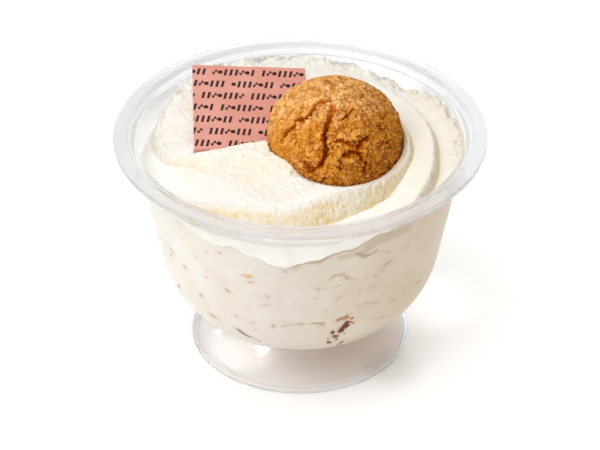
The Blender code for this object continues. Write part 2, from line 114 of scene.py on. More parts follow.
def closedForm(name, sheet, rows, values):
    # a grid of points, closed below by rows of points under its edge and one last pole; each value is
    # a pair: numbers for the first points, and one number for all the rest
    count, ring = len(sheet), len(rows[0])
    edge = discEdge(count)
    below = count * count + np.arange(len(rows) * ring).reshape(len(rows), ring)
    belt = np.vstack([below[::-1], edge]).T
    top = np.arange(count * count).reshape(count, count)
    quads = np.concatenate([gridQuads(top), gridQuads(np.vstack([belt, belt[:1]]))])
    points = np.concatenate([sheet.reshape(-1, 3), rows.reshape(-1, 3), rows[-1].mean(axis=0)[None]])
    triangles = np.stack([np.roll(below[-1], -1), below[-1], np.full(ring, len(points) - 1)], -1)
    spread = {label: np.concatenate([numbers.ravel(), np.full(len(points) - numbers.size, rest)])
              for label, (numbers, rest) in values.items()}
    return makeMesh(name, points, quads, triangles, spread)


def ease(low, high, value):
    # 0 below low, 1 above high, and 3t^2 - 2t^3 between them
    t = np.clip((value - low) / (high - low), 0, 1)
    return t * t * (3 - 2 * t)


def zone(value, low, high, soft):
    # 1 between low and high, falling to 0 over soft on either side
    return ease(low - soft, low, value) * ease(high + soft, high, value)


def roundedLine(corners, steps=5):
    # corners are (radius, height, rounding); each is cut by a quadratic arc from rounding before it
    # to rounding after it
    path = []
    corners = np.array(corners, float)
    for here, corner in enumerate(corners):
        place, rounding = corner[:2], corner[2]
        if rounding == 0:
            path.append(place)
            continue
        back = corners[here - 1, :2] - place
        on = corners[here + 1, :2] - place
        start = place + back / np.linalg.norm(back) * rounding
        end = place + on / np.linalg.norm(on) * rounding
        for t in np.linspace(0, 1, steps):
            path.append((1 - t) ** 2 * start + 2 * t * (1 - t) * place + t ** 2 * end)
    return path


class Lumps:
    # gradient noise between about -1 and 1: every whole point of a lattice has a random slope, and
    # the eight round a place are blended by 6t^5 - 15t^4 + 10t^3
    def __init__(self, seed):
        rng = np.random.default_rng(seed)
        self.order = rng.permutation(256)
        slopes = rng.normal(size=(256, 3))
        self.slopes = slopes / np.linalg.norm(slopes, axis=1)[:, None]
        self.spots = rng.random((256, 3))

    def pick(self, cell):
        x, y, z = np.moveaxis(cell & 255, -1, 0)
        return self.order[(self.order[(self.order[x] + y) & 255] + z) & 255]

    def at(self, points, size):
        spot = points / size
        cell = np.floor(spot).astype(int)
        part = spot - cell
        blend = part ** 3 * (part * (part * 6 - 15) + 10)
        total = np.zeros(points.shape[:-1])
        for corner in np.ndindex(2, 2, 2):
            weight = np.prod(np.where(np.array(corner) == 1, blend, 1 - blend), axis=-1)
            total += weight * (self.slopes[self.pick(cell + corner)] * (part - corner)).sum(axis=-1)
        return total * 1.7

    def layers(self, points, size, count=3):
        # each layer is half as large and half as strong as the one before
        return sum(self.at(points, size / 2 ** step) / 2 ** step for step in range(count))

    def cells(self, points, size):
        # distances, in lattice steps, to the nearest and second nearest of one random spot per cell,
        # and the way from the nearest one times its random slope
        spot = points / size
        cell = np.floor(spot).astype(int)
        near = np.full(points.shape[:-1], 9.0)
        second = near.copy()
        tilt = np.zeros(near.shape)
        for step in np.ndindex(3, 3, 3):
            there = cell + np.array(step) - 1
            key = self.pick(there)
            away = spot - there - self.spots[key]
            gap = np.linalg.norm(away, axis=-1)
            tilt = np.where(gap < near, (self.slopes[key] * away).sum(axis=-1), tilt)
            second = np.minimum(second, np.maximum(near, gap))
            near = np.minimum(near, gap)
        return near, second, tilt


# Helpers for materials

class Value:
    # a socket that takes part in sums: value * 2 + 1 adds the Math nodes
    def __init__(self, nodes, socket):
        self.nodes = nodes
        self.socket = socket

    def math(self, operation, *others):
        # the value is the first term
        sockets = dict(enumerate((self, *others)))
        return self.nodes.node("ShaderNodeMath", {"operation": operation}, sockets)

    def __add__(self, other):
        return self.math("ADD", other)

    def __radd__(self, other):
        return self.math("ADD", other)

    def __sub__(self, other):
        return self.math("SUBTRACT", other)

    def __rsub__(self, other):
        # other - value, as value * -1 + other
        return self.math("MULTIPLY_ADD", -1, other)

    def __mul__(self, other):
        return self.math("MULTIPLY", other)

    def __rmul__(self, other):
        return self.math("MULTIPLY", other)

    def __truediv__(self, other):
        return self.math("DIVIDE", other)

    def __abs__(self):
        return self.math("ABSOLUTE")

    def step(self, low, high):
        # smooth step from 0 at low to 1 at high
        return self.nodes.node("ShaderNodeMapRange", {"interpolation_type": "SMOOTHSTEP"},
                               {"Value": self, "From Min": low, "From Max": high})


class Nodes:
    # the nodes of one material or of the sky
    def __init__(self, tree):
        self.tree = tree

    def feed(self, socket, value):
        if isinstance(value, Value):
            self.tree.links.new(value.socket, socket)
        elif hasattr(value, "__len__") and len(value) == 3 and socket.type == "RGBA":
            socket.default_value = (*value, 1)
        else:
            socket.default_value = value

    def node(self, kind, settings=None, sockets=None, output=0):
        made = self.tree.nodes.new(kind)
        for label, setting in (settings or {}).items():
            if label == "stops":
                stops = made.color_ramp.elements
                while len(stops) < len(setting):
                    stops.new(0.5)
                for stop, (place, colour) in zip(stops, setting):
                    stop.position = place
                    stop.color = (*colour, 1)
            else:
                setattr(made, label, setting)
        for label, value in (sockets or {}).items():
            self.feed(made.inputs[label], value)
        return Value(self, made.outputs[output])

    def place(self):
        return self.node("ShaderNodeTexCoord", output="Object")

    def axis(self, number):
        # x, y or z of the place in mm, for 0, 1 or 2
        return self.node("ShaderNodeSeparateXYZ", None, {0: self.place()}, output=number) / mm

    def gap(self, *spot):
        # distance in mm from a spot in mm
        sockets = {0: self.place(), 1: [number * mm for number in spot]}
        return self.node("ShaderNodeVectorMath", {"operation": "DISTANCE"}, sockets, output=1) / mm

    def attribute(self, label):
        return self.node("ShaderNodeAttribute", {"attribute_name": label}, output="Fac")

    def noise(self, size, detail=3.0, roughness=0.5):
        # size is the pattern's size in mm
        return self.node("ShaderNodeTexNoise", None,
                         {"Vector": self.place(), "Scale": 1 / (size * mm), "Detail": detail,
                          "Roughness": roughness})

    def mix(self, first, second, share, blend="MIX"):
        return self.node("ShaderNodeMix", {"data_type": "RGBA", "blend_type": blend},
                         {0: share, 6: first, 7: second}, output=2)

    def ramp(self, value, stops):
        return self.node("ShaderNodeValToRGB", {"stops": stops}, {"Fac": value})


class Finish(Nodes):
    # one Principled material; constants go straight on the shader's sockets
    def __init__(self, name, colour, **constants):
        self.material = bpy.data.materials.new(name)
        self.material.use_nodes = True
        super().__init__(self.material.node_tree)
        self.shader = self.tree.nodes["Principled BSDF"]
        self.material.diffuse_color = (*colour, 1)
        self.set(Base_Color=colour, **constants)

    def set(self, **sockets):
        for label, value in sockets.items():
            self.feed(self.shader.inputs[label.replace("_", " ")], value)

    def bump(self, height, distance, strength=1.0):
        # height 0..1 stands for distance in mm
        self.set(Normal=self.node("ShaderNodeBump", None, {"Strength": strength, "Height": height,
                                                           "Distance": distance * mm}))


# Camera, floor and light; places and sizes are in metres here, apart from those of the floor's glow

camera = {"place": (0.0, -0.606926, 0.448832), "lookDown": 34.2747, "lens": 159.51, "shift": -0.0005}
studio = {"floorColour": (0.80, 0.80, 0.80), "floorRadius": 3.0,
          # painted light and shade: the glow that the floor adds under the cup, and away from it to the left
          # and to the right
          "glowNear": 0.27, "glowLeft": 0.17, "glowRight": 0.37, "glowFrom": 32, "glowTo": 46,
          "glowSide": 60,
          # x, y, reach and added glow of spots of painted light and of painted shadow
          "glowSpots": ((35, 12, 20, 0.22), (25, -19, 12, -0.13), (-16, -11, 13, 0.24)),
          "skyFrom": (-0.5, -0.3, 0.81), "skyBright": (1.0, 0.995, 0.985),
          "skyDark": (0.45, 0.43, 0.40), "skyStrength": 0.80,
          # place, size and power
          "lamps": {"key": ((-0.46, -0.30, 0.86), 0.8, 4.1), "top": ((0.05, 0.2, 1.0), 0.8, 1.45),
                    "fill": ((-0.45, -0.85, 0.1), 0.7, 2.3)}}


def setCamera():
    eye = bpy.data.cameras.new("camera")
    eye.lens = camera["lens"]
    eye.sensor_width = 36
    eye.shift_x = camera["shift"]
    eye.clip_start = 0.01
    item = bpy.data.objects.new("camera", eye)
    item.location = camera["place"]
    item.rotation_euler = (math.radians(90 - camera["lookDown"]), 0, 0)
    bpy.context.collection.objects.link(item)
    bpy.context.scene.camera = item


def setFloor():
    # a wide pale disc that glows a little: near + (wide - near) * step over the distance, and spots
    # the uneven glow is painted light and shade: dimmer near the cup, brighter to the right, with spots
    rim = roundPoints(studio["floorRadius"] / mm, np.arange(64) * math.tau / 64, 0)
    floor = makeMesh("floor", rim, [], [range(64)])
    paint = Finish("floorPaint", studio["floorColour"], Roughness=0.9, Specular_IOR_Level=0.0,
                   Emission_Strength=1.0)
    near, left, right = (studio[label] for label in ("glowNear", "glowLeft", "glowRight"))
    wide = paint.axis(0).step(-studio["glowSide"], studio["glowSide"]) * (right - left) + left
    glow = (wide - near) * paint.gap(0, 0, 0).step(studio["glowFrom"], studio["glowTo"]) + near
    for x, y, reach, amount in studio["glowSpots"]:
        glow = glow + paint.gap(x, y, 0).step(reach, 0.2 * reach) * amount
    paint.set(Emission_Color=glow.math("MAXIMUM", 0))
    floor.data.materials.append(paint.material)


def setSky():
    # a pale sky that is brightest towards the upper left
    world = bpy.data.worlds.new("sky")
    bpy.context.scene.world = world
    world.use_nodes = True
    sky = Nodes(world.node_tree)
    towards = sky.node("ShaderNodeVectorMath", {"operation": "DOT_PRODUCT"},
                       {0: sky.node("ShaderNodeTexCoord", output="Generated"),
                        1: Vector(studio["skyFrom"]).normalized()}, output=1)
    share = sky.node("ShaderNodeMapRange", None, {"Value": towards, "From Min": -1})
    background = world.node_tree.nodes["Background"]
    background.inputs["Strength"].default_value = studio["skyStrength"]
    sky.feed(background.inputs["Color"],
             sky.ramp(share, [(0, studio["skyDark"]), (1, studio["skyBright"])]))


def setLamps():
    # soft square lamps, each turned towards the cup
    for name, (place, size, power) in studio["lamps"].items():
        lamp = bpy.data.lights.new(name, "AREA")
        lamp.energy = power
        lamp.size = size
        item = bpy.data.objects.new(name, lamp)
        item.location = place
        item.rotation_euler = (-Vector(place)).to_track_quat("-Z", "Y").to_euler()
        bpy.context.collection.objects.link(item)


setCamera()
setFloor()
setSky()
setLamps()
bpy.context.scene.view_settings.view_transform = "Standard"
print("camera, floor and light set")


# The clear cup

cup = {"rimRadius": 50.5, "rimTop": 66.25, "flange": 1.3, "flangeFall": 0.4,
       "crownRadius": 46.9, "ledgeRadius": 45.7, "ledgeHeight": 65.2, "wall": 1.1,
       "shoulderHeight": 30.0, "shoulderRadius": 38.6, "taper": 0.192,
       "bowlBottom": 8.0, "floorHeight": 9.4, "roundingUp": 2.2, "roundingOut": 3.7,
       "footRadius": 30.6, "footEdge": 1.5, "waistRadius": 14.5, "waistHeight": 7.2,
       "flare": 1.9, "footThickness": 1.2, "footRing": 1.3, "sides": 400,
       # how far the contents' looks reach into the plastic, so that they show at the wall
       "contentInWall": 0.8, "contentInFloor": 1.05,
       "clear": (0.95, 0.945, 0.955), "rimShadeGrey": (0.87, 0.875, 0.895), "backShadeGrey": (0.74, 0.745, 0.76),
       "flareClear": (0.88, 0.905, 0.95), "flareShadeBrown": (0.80, 0.72, 0.65),
       "waistShadeBrown": (0.66, 0.545, 0.435), "frontSheen": (0.94, 0.915, 0.905),
       "polish": 0.012, "bending": 1.36, "flareBending": 1.12,
       # x, y and reach of painted glints: small glowing spots on the flare
       "glints": ((-23.3, -5.5, 1.5), (-10.8, -16.0, 2.0)), "glintStrength": 1.8}


def wallLine(height):
    # outer radius of the tapered wall
    return cup["shoulderRadius"] + cup["taper"] * (height - cup["shoulderHeight"])


def bowlRadius(height, bottom, inset):
    # (wall line - inset) * (1 - depth^up)^(1/out), a superellipse under the shoulder
    depth = np.clip((cup["shoulderHeight"] - height) / (cup["shoulderHeight"] - bottom), 0, 1)
    return (wallLine(height) - inset) * (1 - depth ** cup["roundingUp"]) ** (1 / cup["roundingOut"])


def bowlLine(bottom, inset, steps, start=0.0):
    # the rounded part from start (a share of the quarter turn) up to the shoulder
    turn = np.linspace(start * math.pi / 2, math.pi / 2, steps)
    depth = (cup["shoulderHeight"] - bottom) * np.cos(turn) ** (2 / cup["roundingUp"])
    height = cup["shoulderHeight"] - depth
    return np.stack([(wallLine(height) - inset) * np.sin(turn) ** (2 / cup["roundingOut"]), height], -1)


def contentRadius(height):
    # the contents' face, just inside the wall's plastic
    return bowlRadius(height, cup["floorHeight"] - cup["contentInFloor"], cup["wall"] - cup["contentInWall"])


def flareHeight(radius):
    # the foot's upper face: edge + (waist - edge) * share^flare, share 1 at the waist
    share = (cup["footRadius"] - radius) / (cup["footRadius"] - cup["waistRadius"])
    return cup["footEdge"] + (cup["waistHeight"] - cup["footEdge"]) * np.clip(share, 0, 1) ** cup["flare"]


def cupProfile():
    # worked out from the middle of the bowl's floor up the inside, over the rim, down the outside,
    # over the foot and back under it to the middle; handed on the other way round, for the normals
    wall, ledge, edge, waist = cup["wall"], cup["ledgeHeight"], cup["footRadius"], cup["waistRadius"]
    crown, rimEdge, ring, foot = cup["crownRadius"], cup["rimRadius"], cup["footRing"], cup["footEdge"]
    neck = ledge - 0.35
    inner = wallLine(neck) - wall
    high = cup["rimTop"] - cup["flangeFall"]
    low = high - cup["flange"]
    path = list(bowlLine(cup["floorHeight"], wall, 34))
    path += [(wallLine(z) - wall, z) for z in np.arange(32, neck - 0.6, 2)]
    path += roundedLine([(inner - 0.2, neck - 1.0, 0), (inner, neck, 0.3), (inner + 0.35, ledge, 0.2),
                         (cup["ledgeRadius"], ledge, 0.25), (crown - 0.35, cup["rimTop"] - 0.17, 0.3),
                         (crown, cup["rimTop"], 0.25), (rimEdge - 0.35, high, 0.3),
                         (rimEdge, high - 0.35, 0.22), (rimEdge, low + 0.35, 0.22),
                         (rimEdge - 0.35, low, 0.3), (wallLine(low) + 1.0, low, 0.5),
                         (wallLine(low - 1.0), low - 1.0, 0.5), (wallLine(low - 2.4), low - 2.4, 0)])
    path += [(wallLine(z), z) for z in np.arange(low - 4.0, 31, -2)]
    path += list(bowlLine(cup["bowlBottom"], 0, 34, 0.13))[::-1]
    lowest = path.pop()
    path += roundedLine([(*path[-1], 0), (lowest[0] - 0.4, lowest[1] - 0.45, 0.4),
                         (waist + 0.6, flareHeight(waist + 0.6), 0)])[1:]
    path += [(r, flareHeight(r)) for r in np.linspace(waist + 1.2, edge - 1.0, 16)]
    path += roundedLine([(edge - 0.8, foot + 0.02, 0), (edge - 0.3, foot, 0.2), (edge, foot - 0.4, 0.25),
                         (edge, 0, 0.2), (edge - ring, 0, 0.2), (edge - ring - 0.1, 0.45, 0.2),
                         (edge - 2.4, 0.5, 0)])
    thick = cup["footThickness"]
    under = np.linspace(edge - 3.2, waist + 0.2, 16)
    path += [(r - thick / 2, flareHeight(r) - thick) for r in under]
    path += roundedLine([(waist - 0.9, 6.3, 0), (waist - 1.6, 7.7, 0.5), (waist - 3.0, 8.0, 0.4),
                         (waist - 6, 8.0, 0), (0, 8.0, 0)])
    return np.array(path)[::-1]


def clearCup():
    # point (side, step) = (r cos t, r sin t, z), with r and z from the profile
    radius, height = cupProfile().T
    turn = np.arange(cup["sides"]) * math.tau / cup["sides"]
    return turnedForm("clearCup", roundPoints(radius, turn[:, None], height))


def plasticPaint():
    # clear and slightly grey, with painted grey shade on the rim and on the wall behind the contents; alpha
    # lets a part of the light straight through, least at the rim and the foot's edge; the foot's thin flare
    # bends light less, is painted browner where the bowl shades it, and has painted glints; a painted pale
    # sheen lies over the rim in front
    paint = Finish("clearPlastic", cup["clear"], Roughness=cup["polish"], IOR=cup["bending"],
                   Transmission_Weight=1.0)
    across, deep, height = (paint.axis(number) for number in range(3))
    outSquared = across * across + deep * deep
    foot = height.step(9.0, 7.6)
    footEdge = outSquared.step(28.0 ** 2, 29.0 ** 2)
    rim = outSquared.step(45.3 ** 2, 46.3 ** 2)
    high = height.step(52, 60)
    top = height.step(60, 62)
    front = deep.step(-12, -38)
    # painted shade: the rim and the wall behind the contents are tinted a darker grey
    behind = deep.step(4, 24) * height.step(58, 61) * (1 - rim)
    tint = paint.mix(cup["clear"], cup["rimShadeGrey"], rim * (1 - front))
    paint.set(Base_Color=paint.mix(tint, cup["backShadeGrey"], behind),
              Alpha=0.3 + 0.5 * foot + 0.18 * high + (0.06 + 0.40 * front) * top,
              Roughness=cup["polish"] + 0.1 * front * top)
    # painted shade on the flare: bluish grey on the left, brown to the right, browner still near the waist
    shaded = across.step(-24, 14)
    shadeBrown = paint.mix(cup["flareShadeBrown"], cup["waistShadeBrown"], outSquared.step(27 ** 2, 15 ** 2))
    # painted glints: the flare glows in small ragged spots
    glint = 0
    for x, y, reach in cup["glints"]:
        gap = paint.gap(x, y, flareHeight(math.hypot(x, y))) + paint.noise(1.3, 3, 0.6) * 6
        glint = gap.step(reach + 3.0, reach + 2.2) + glint
    flare = paint.node("ShaderNodeBsdfPrincipled", None,
                       {"Base Color": paint.mix(cup["flareClear"], shadeBrown, shaded),
                        "Emission Color": glint, "Emission Strength": cup["glintStrength"],
                        "Alpha": 0.22 + 0.39 * shaded, "Roughness": cup["polish"],
                        "IOR": cup["flareBending"], "Transmission Weight": 1.0})
    # a painted pale sheen: a pale, half clear layer over the rim in front
    frontSheen = paint.node("ShaderNodeBsdfPrincipled", None,
                      {"Base Color": cup["frontSheen"], "Alpha": 0.5, "Roughness": 0.3})
    body = paint.node("ShaderNodeMixShader", None,
                      {0: 0.36 * front * top, 1: Value(paint, paint.shader.outputs[0]), 2: frontSheen})
    both = paint.node("ShaderNodeMixShader", None, {0: foot * (1 - footEdge), 1: body, 2: flare})
    paint.feed(paint.tree.nodes["Material Output"].inputs["Surface"], both)
    return paint.material


dress(clearCup(), plasticPaint(), "clear_plastic", "cup")
print("cup made")


# The line between pudding and cream

layer = {"line": ((-136, 56.1), (-127, 54.0), (-114, 54.5), (-106, 53.4), (-97, 50.2), (-91, 51.2),
                  (-84, 53.4), (-77, 54.7), (-70.5, 56.0), (-64, 58.2), (-57, 59.0), (-42, 58.0),
                  (-20, 55.5), (20, 54.0), (70, 55.5), (120, 54.0), (165, 52.5), (195, 53.5)),
         "centre": 53.0, "ripple": 1.0, "wallRadius": 43}


def roundTable(table, angles):
    # a table of (angle, values...) read at any angle: Catmull-Rom between its rows, closed all round
    table = np.array(table, float)
    before, after = table[-2:].copy(), table[:2].copy()
    before[:, 0] -= 360
    after[:, 0] += 360
    knots = np.vstack([before, table, after])
    wrapped = (angles - table[0, 0]) % 360 + table[0, 0]
    place = np.clip(np.searchsorted(knots[:, 0], wrapped, side="right") - 1, 1, len(knots) - 3)
    share = (wrapped - knots[place, 0]) / (knots[place + 1, 0] - knots[place, 0])
    return blendKnots(knots[:, 1:], place, share)


def blendKnots(values, place, share):
    # Catmull-Rom blend of rows of values at place + share
    share = share[..., None]
    before, here, after, beyond = (values[place + step] for step in (-1, 0, 1, 2))
    return 0.5 * (2 * here + (after - before) * share
                  + (2 * before - 5 * here + 4 * after - beyond) * share ** 2
                  + (3 * here - before - 3 * after + beyond) * share ** 3)


def layerHeight(angles):
    # the wavy line at the wall with small uneven ripples
    onWall = roundPoints(layer["wallRadius"], np.radians(angles), 0)
    ripple = Lumps(21).layers(onWall, 4.0, 4) * layer["ripple"]
    return roundTable(layer["line"], angles)[..., 0] + ripple


def capHeight(height, inward):
    # from the line's height at the wall down to one level in the middle, by ease over inward
    return layer["centre"] + (height - layer["centre"]) * ease(0.4, 0.95, inward)


# Where fruit shows at the wall, by angle, height, half width, half height, lean and shade;
# shade 0 is orange peel, 0.5 brown and 1 dark raisin

fruit = {"raisin": ((-74, 30, 0.8, 0.4, 15, 0.4), (-71.5, 30.5, 0.7, 0.5, 20, 0.4),
                    (-72, 26.5, 1.4, 0.7, 45, 0.9), (-71, 28, 0.5, 0.6, -15, 0.8),
                    (-72.5, 25, 0.4, 0.4, -40, 0.9), (-76.5, 25, 0.4, 0.4, 35, 0.9),
                    (-75, 23, 0.5, 0.7, 70, 0.7), (-74, 21, 0.3, 0.4, -20, 0.8),
                    (-77, 20, 0.6, 0.4, -55, 0.8), (-71, 17, 0.4, 0.4, -40, 0.8),
                    (-70.5, 18.5, 0.4, 0.4, 25, 0.9), (-69, 29.5, 0.3, 0.2, 10, 0.8),
                    (-68, 27.5, 0.3, 0.2, -20, 0.6), (-71, 23.5, 0.2, 0.2, -20, 0.6),
                    (-78, 22, 0.2, 0.2, -15, 0.6), (-69.5, 28, 0.4, 0.2, -5, 0.5)),
         "sliver": ((-116.5, 22.5, 1.1, 0.3, -40, 0.9), (-114, 21, 1.3, 0.3, -25, 0.9)),
         "sliverEnd": ((-109, 19.5, 0.8, 0.4, -10, 0.3),),
         "peel": ((-109, 45.5, 0.9, 0.6, 10, 0), (-111, 45.5, 0.8, 0.2, 0, 0.1),
                  (-108.5, 43.5, 0.7, 0.3, 10, 0.1)),
         "flecks": ((-101, 28, 0.4, 0.4, 10, 0.6), (-81.5, 28, 0.5, 0.4, -5, 0.2),
                    (-80, 34, 0.4, 0.3, 5, 0.2), (-66, 33.5, 0.4, 0.3, -40, 0.3),
                    (-63.5, 34, 0.3, 0.3, 20, 0.6), (-59.5, 33, 0.9, 0.2, -15, 0.4),
                    (-53.5, 25.5, 1.4, 0.2, -15, 0.3), (-109.5, 28, 0.4, 0.3, 40, 0.2),
                    (-108.5, 25.5, 0.2, 0.2, 15, 0.3), (-60.5, 19.5, 1.6, 0.3, 20, 0.2),
                    (-140.5, 39, 0.6, 0.4, -5, 0.5), (-119, 38, 0.6, 0.3, -30, 0.7),
                    (-133.5, 31.5, 0.5, 0.4, 10, 0.5), (-129.5, 25, 1, 0.3, -20, 0.8),
                    (-83.5, 42.5, 0.3, 0.3, -5, 0.5), (-75.5, 38, 0.6, 0.3, 35, 0.3),
                    (-62, 39.5, 0.6, 0.4, 25, 0.3), (-76, 35.5, 0.2, 0.2, 15, 0.3),
                    (-84, 39, 0.4, 0.3, -20, 0.1), (-148.5, 41.5, 1.2, 0.2, -25, 0.6),
                    (-119.5, 51.5, 0.3, 0.2, -15, 0.9), (-126, 50, 0.3, 0.2, 25, 0.5),
                    (-95.5, 49, 0.4, 0.2, -30, 0.5), (-65, 44, 0.2, 0.2, -20, 0.5),
                    (-61, 43.5, 0.3, 0.2, -20, 0.8), (-58.5, 44.5, 0.3, 0.2, 0, 0.6),
                    (-57, 46.5, 0.7, 0.2, 20, 0.6), (-56, 46.5, 0.4, 0.2, 20, 0.6),
                    (-74.5, 47, 0.5, 0.4, -10, 0.3), (-73, 45, 0.3, 0.3, -15, 0.4),
                    (-35, 31.5, 0.8, 0.3, -20, 0.4), (-50, 31, 0.4, 0.2, -25, 0.5),
                    (-92, 50, 1, 0.3, 15, 0.2), (-104, 35.5, 0.6, 0.2, 25, 0.2),
                    (-102.5, 39, 0.5, 0.4, 10, 0.2), (-116.5, 29, 0.4, 0.3, 20, 0.3),
                    (-95.5, 15, 0.7, 0.2, -5, 0.5), (-67, 39.5, 0.3, 0.2, -5, 0.4),
                    (-132, 46, 0.3, 0.2, 0, 0.5), (-128, 40, 0.3, 0.2, 25, 0.4)),
         # those that tint the pudding round them
         "withHalo": ("raisin", "sliver", "peel", "flecks"),
         "proud": 0.08, "tuck": 0.25, "swell": 1.4, "backDepth": 0.9, "haloReach": 1.3,
         # small flecks on the sides and the back, and broken raisins there by angle and height
         "scattered": 150, "brokenBehind": ((24, 34), (104, 23), (171, 40)), "crumbs": 11,
         "shades": [(0.0, (0.82, 0.45, 0.10)), (0.22, (0.68, 0.40, 0.18)), (0.5, (0.38, 0.15, 0.05)),
                    (0.75, (0.21, 0.062, 0.018)), (1.0, (0.10, 0.025, 0.008))],
         "soakColour": (0.73, 0.66, 0.57)}


# The pudding

pudding = {"sides": 600, "rows": 140, "capRows": 10, "hollowDepth": 0.3, "gap": 0.03,
           # lines where the pudding stays off the wall, painted with tan shade: their points, half width and
           # strength
           "tan": ((((-97.1, 28.2), (-93.4, 29.3), (-89.3, 29.5), (-85.2, 29.5), (-81.1, 29.1)), 0.45, 0.8),
                   (((-69.5, 53.4), (-66.2, 51.6), (-63.2, 52.3), (-62.4, 52.8)), 0.7, 1.0),
                   (((-76.0, 53.0), (-71.0, 53.6), (-66.0, 54.0)), 1.6, 0.35),
                   (((-60.7, 52.3), (-57.1, 50.9), (-53.4, 50.0)), 0.3, 0.5),
                   (((-79.3, 45.6), (-77.2, 46.9), (-74.5, 46.8), (-72.8, 45.5), (-68.7, 43.6)), 0.5, 0.6),
                   (((-82.6, 42.6), (-78.7, 42.2), (-75.0, 43.2)), 0.25, 0.5),
                   (((-65.9, 55.1), (-61.5, 56.5), (-55.8, 56.9), (-49.6, 56.8)), 2.4, 0.4),
                   (((20, 47.0), (31, 48.5), (44, 47.6), (52, 48.4)), 0.6, 0.8),
                   (((118, 33.0), (126, 34.6), (139, 34.2)), 0.5, 0.8),
                   (((176, 44.5), (184, 45.6), (195, 44.6)), 0.6, 0.7)),
           "pale": ((-72.5, 42.1), (-64.7, 42.2), (-58.5, 43.6), (-49.7, 46.1), (-39.6, 46.5),
                    (-27.9, 44.8), (-10, 46.0)),
           "cloudLight": (0.895, 0.865, 0.81), "cloudDark": (0.85, 0.80, 0.70),
           "blush": (0.80, 0.705, 0.63), "paleColour": (0.85, 0.79, 0.71),
           "haloColour": (0.50, 0.33, 0.20), "gapShadeColour": (0.54, 0.40, 0.235),
           "middlePaintedShade": (0.84, 0.795, 0.765), "rightPaintedShade": (0.925, 0.85, 0.715),
           "underPaintedShade": (0.72, 0.50, 0.30), "speck": (0.62, 0.42, 0.27)}


def arcAway(angle, middle, radius):
    # the way round the wall from middle to angle, in mm
    return np.radians((angle - middle + 180) % 360 - 180) * radius


def nearLine(angle, height, radius, line):
    # distance in mm along the wall from points (angle, height) to the nearest part of a line on it
    near = np.full(angle.shape, 99.0)
    for (a, low), (b, high) in zip(line, line[1:]):
        east = arcAway(angle, a, radius)
        up = height - low
        runEast, runUp = np.radians(b - a) * layer["wallRadius"], high - low
        share = np.clip((east * runEast + up * runUp) / (runEast ** 2 + runUp ** 2), 0, 1)
        near = np.minimum(near, np.hypot(east - share * runEast, up - share * runUp))
    return near


def fruitHalo(angle, height, radius, wobble):
    # (0.2 + 0.5 shade) * ease over haloReach from the outline of the nearest mark, an ellipse
    halo = np.zeros(angle.shape)
    marks = sum((fruit[part] for part in fruit["withHalo"]), ())
    for middle, level, wide, tall, lean, shade in marks:
        east = arcAway(angle, middle, radius)
        up = height - level
        cosine, sine = math.cos(math.radians(lean)), math.sin(math.radians(lean))
        spread = np.hypot((east * cosine + up * sine) / (wide * 1.3),
                          (up * cosine - east * sine) / (tall * 1.3))
        outside = (spread - 1) * math.sqrt(wide * tall) * 1.3 + wobble
        strength = (0.2 + 0.5 * shade) * min(1, 1.4 * wide)
        halo = np.maximum(halo, strength * ease(fruit["haloReach"], 0, outside))
    return halo


def puddingForm():
    # side point (side, row): heights from the floor to the wavy line, closer together low down, with
    # the radius of the wall's inside; hollows of a few tenths of a mm where the pudding stays off it,
    # with painted tan shade there and under the cream's edge in front
    angle = np.arange(pudding["sides"]) * 360 / pudding["sides"]
    top = layerHeight(angle) - pudding["gap"]
    bottom = cup["floorHeight"] - cup["contentInFloor"]
    share = np.linspace(0, 1, pudding["rows"])
    share = 0.25 * share ** 2 + 0.75 * share
    share[1:12] *= np.linspace(0.35, 1, 11)
    height = bottom + (top[:, None] - bottom) * share
    radius = contentRadius(height)
    radius[:, 0] = 0
    degrees = np.broadcast_to(angle[:, None], height.shape)
    wall = roundPoints(radius, np.radians(degrees), height)
    wobble = 0.35 * Lumps(22).layers(wall, 2.2, 3)
    tan = np.zeros(height.shape)
    for line, width, strength in pudding["tan"]:
        away = nearLine(degrees, height, radius, line) + wobble
        tan = np.maximum(tan, strength * ease(width, width * 0.2, away))
    signed = (degrees + 180) % 360 - 180
    width = 0.5 + 0.7 * np.exp(-((signed + 82.5) / 3) ** 2)
    under = top[:, None] - height + 0.5 * wobble
    # painted tan shade under the cream's edge in front
    tan = np.maximum(tan, 0.9 * zone(signed, -91, -65, 3) * ease(1.6, 0.4, under / width))
    pale = ease(0.8, 0.1, nearLine(degrees, height, radius, pudding["pale"]) + wobble)
    halo = fruitHalo(degrees, height, radius, 0.5 * wobble)
    radius = radius - pudding["hollowDepth"] * tan * (radius > 20)
    inward = np.linspace(1, 0, pudding["capRows"] + 1)[1:]
    radius = np.concatenate([radius, radius[:, -1:] * inward], axis=1)
    height = np.concatenate([height, capHeight(top[:, None], inward)], axis=1)
    cap = np.zeros((len(angle), len(inward)))
    return roundPoints(radius, np.radians(angle)[:, None], height), {
        label: np.concatenate([numbers, cap], axis=1)
        for label, numbers in (("tan", tan), ("pale", pale), ("halo", halo))}


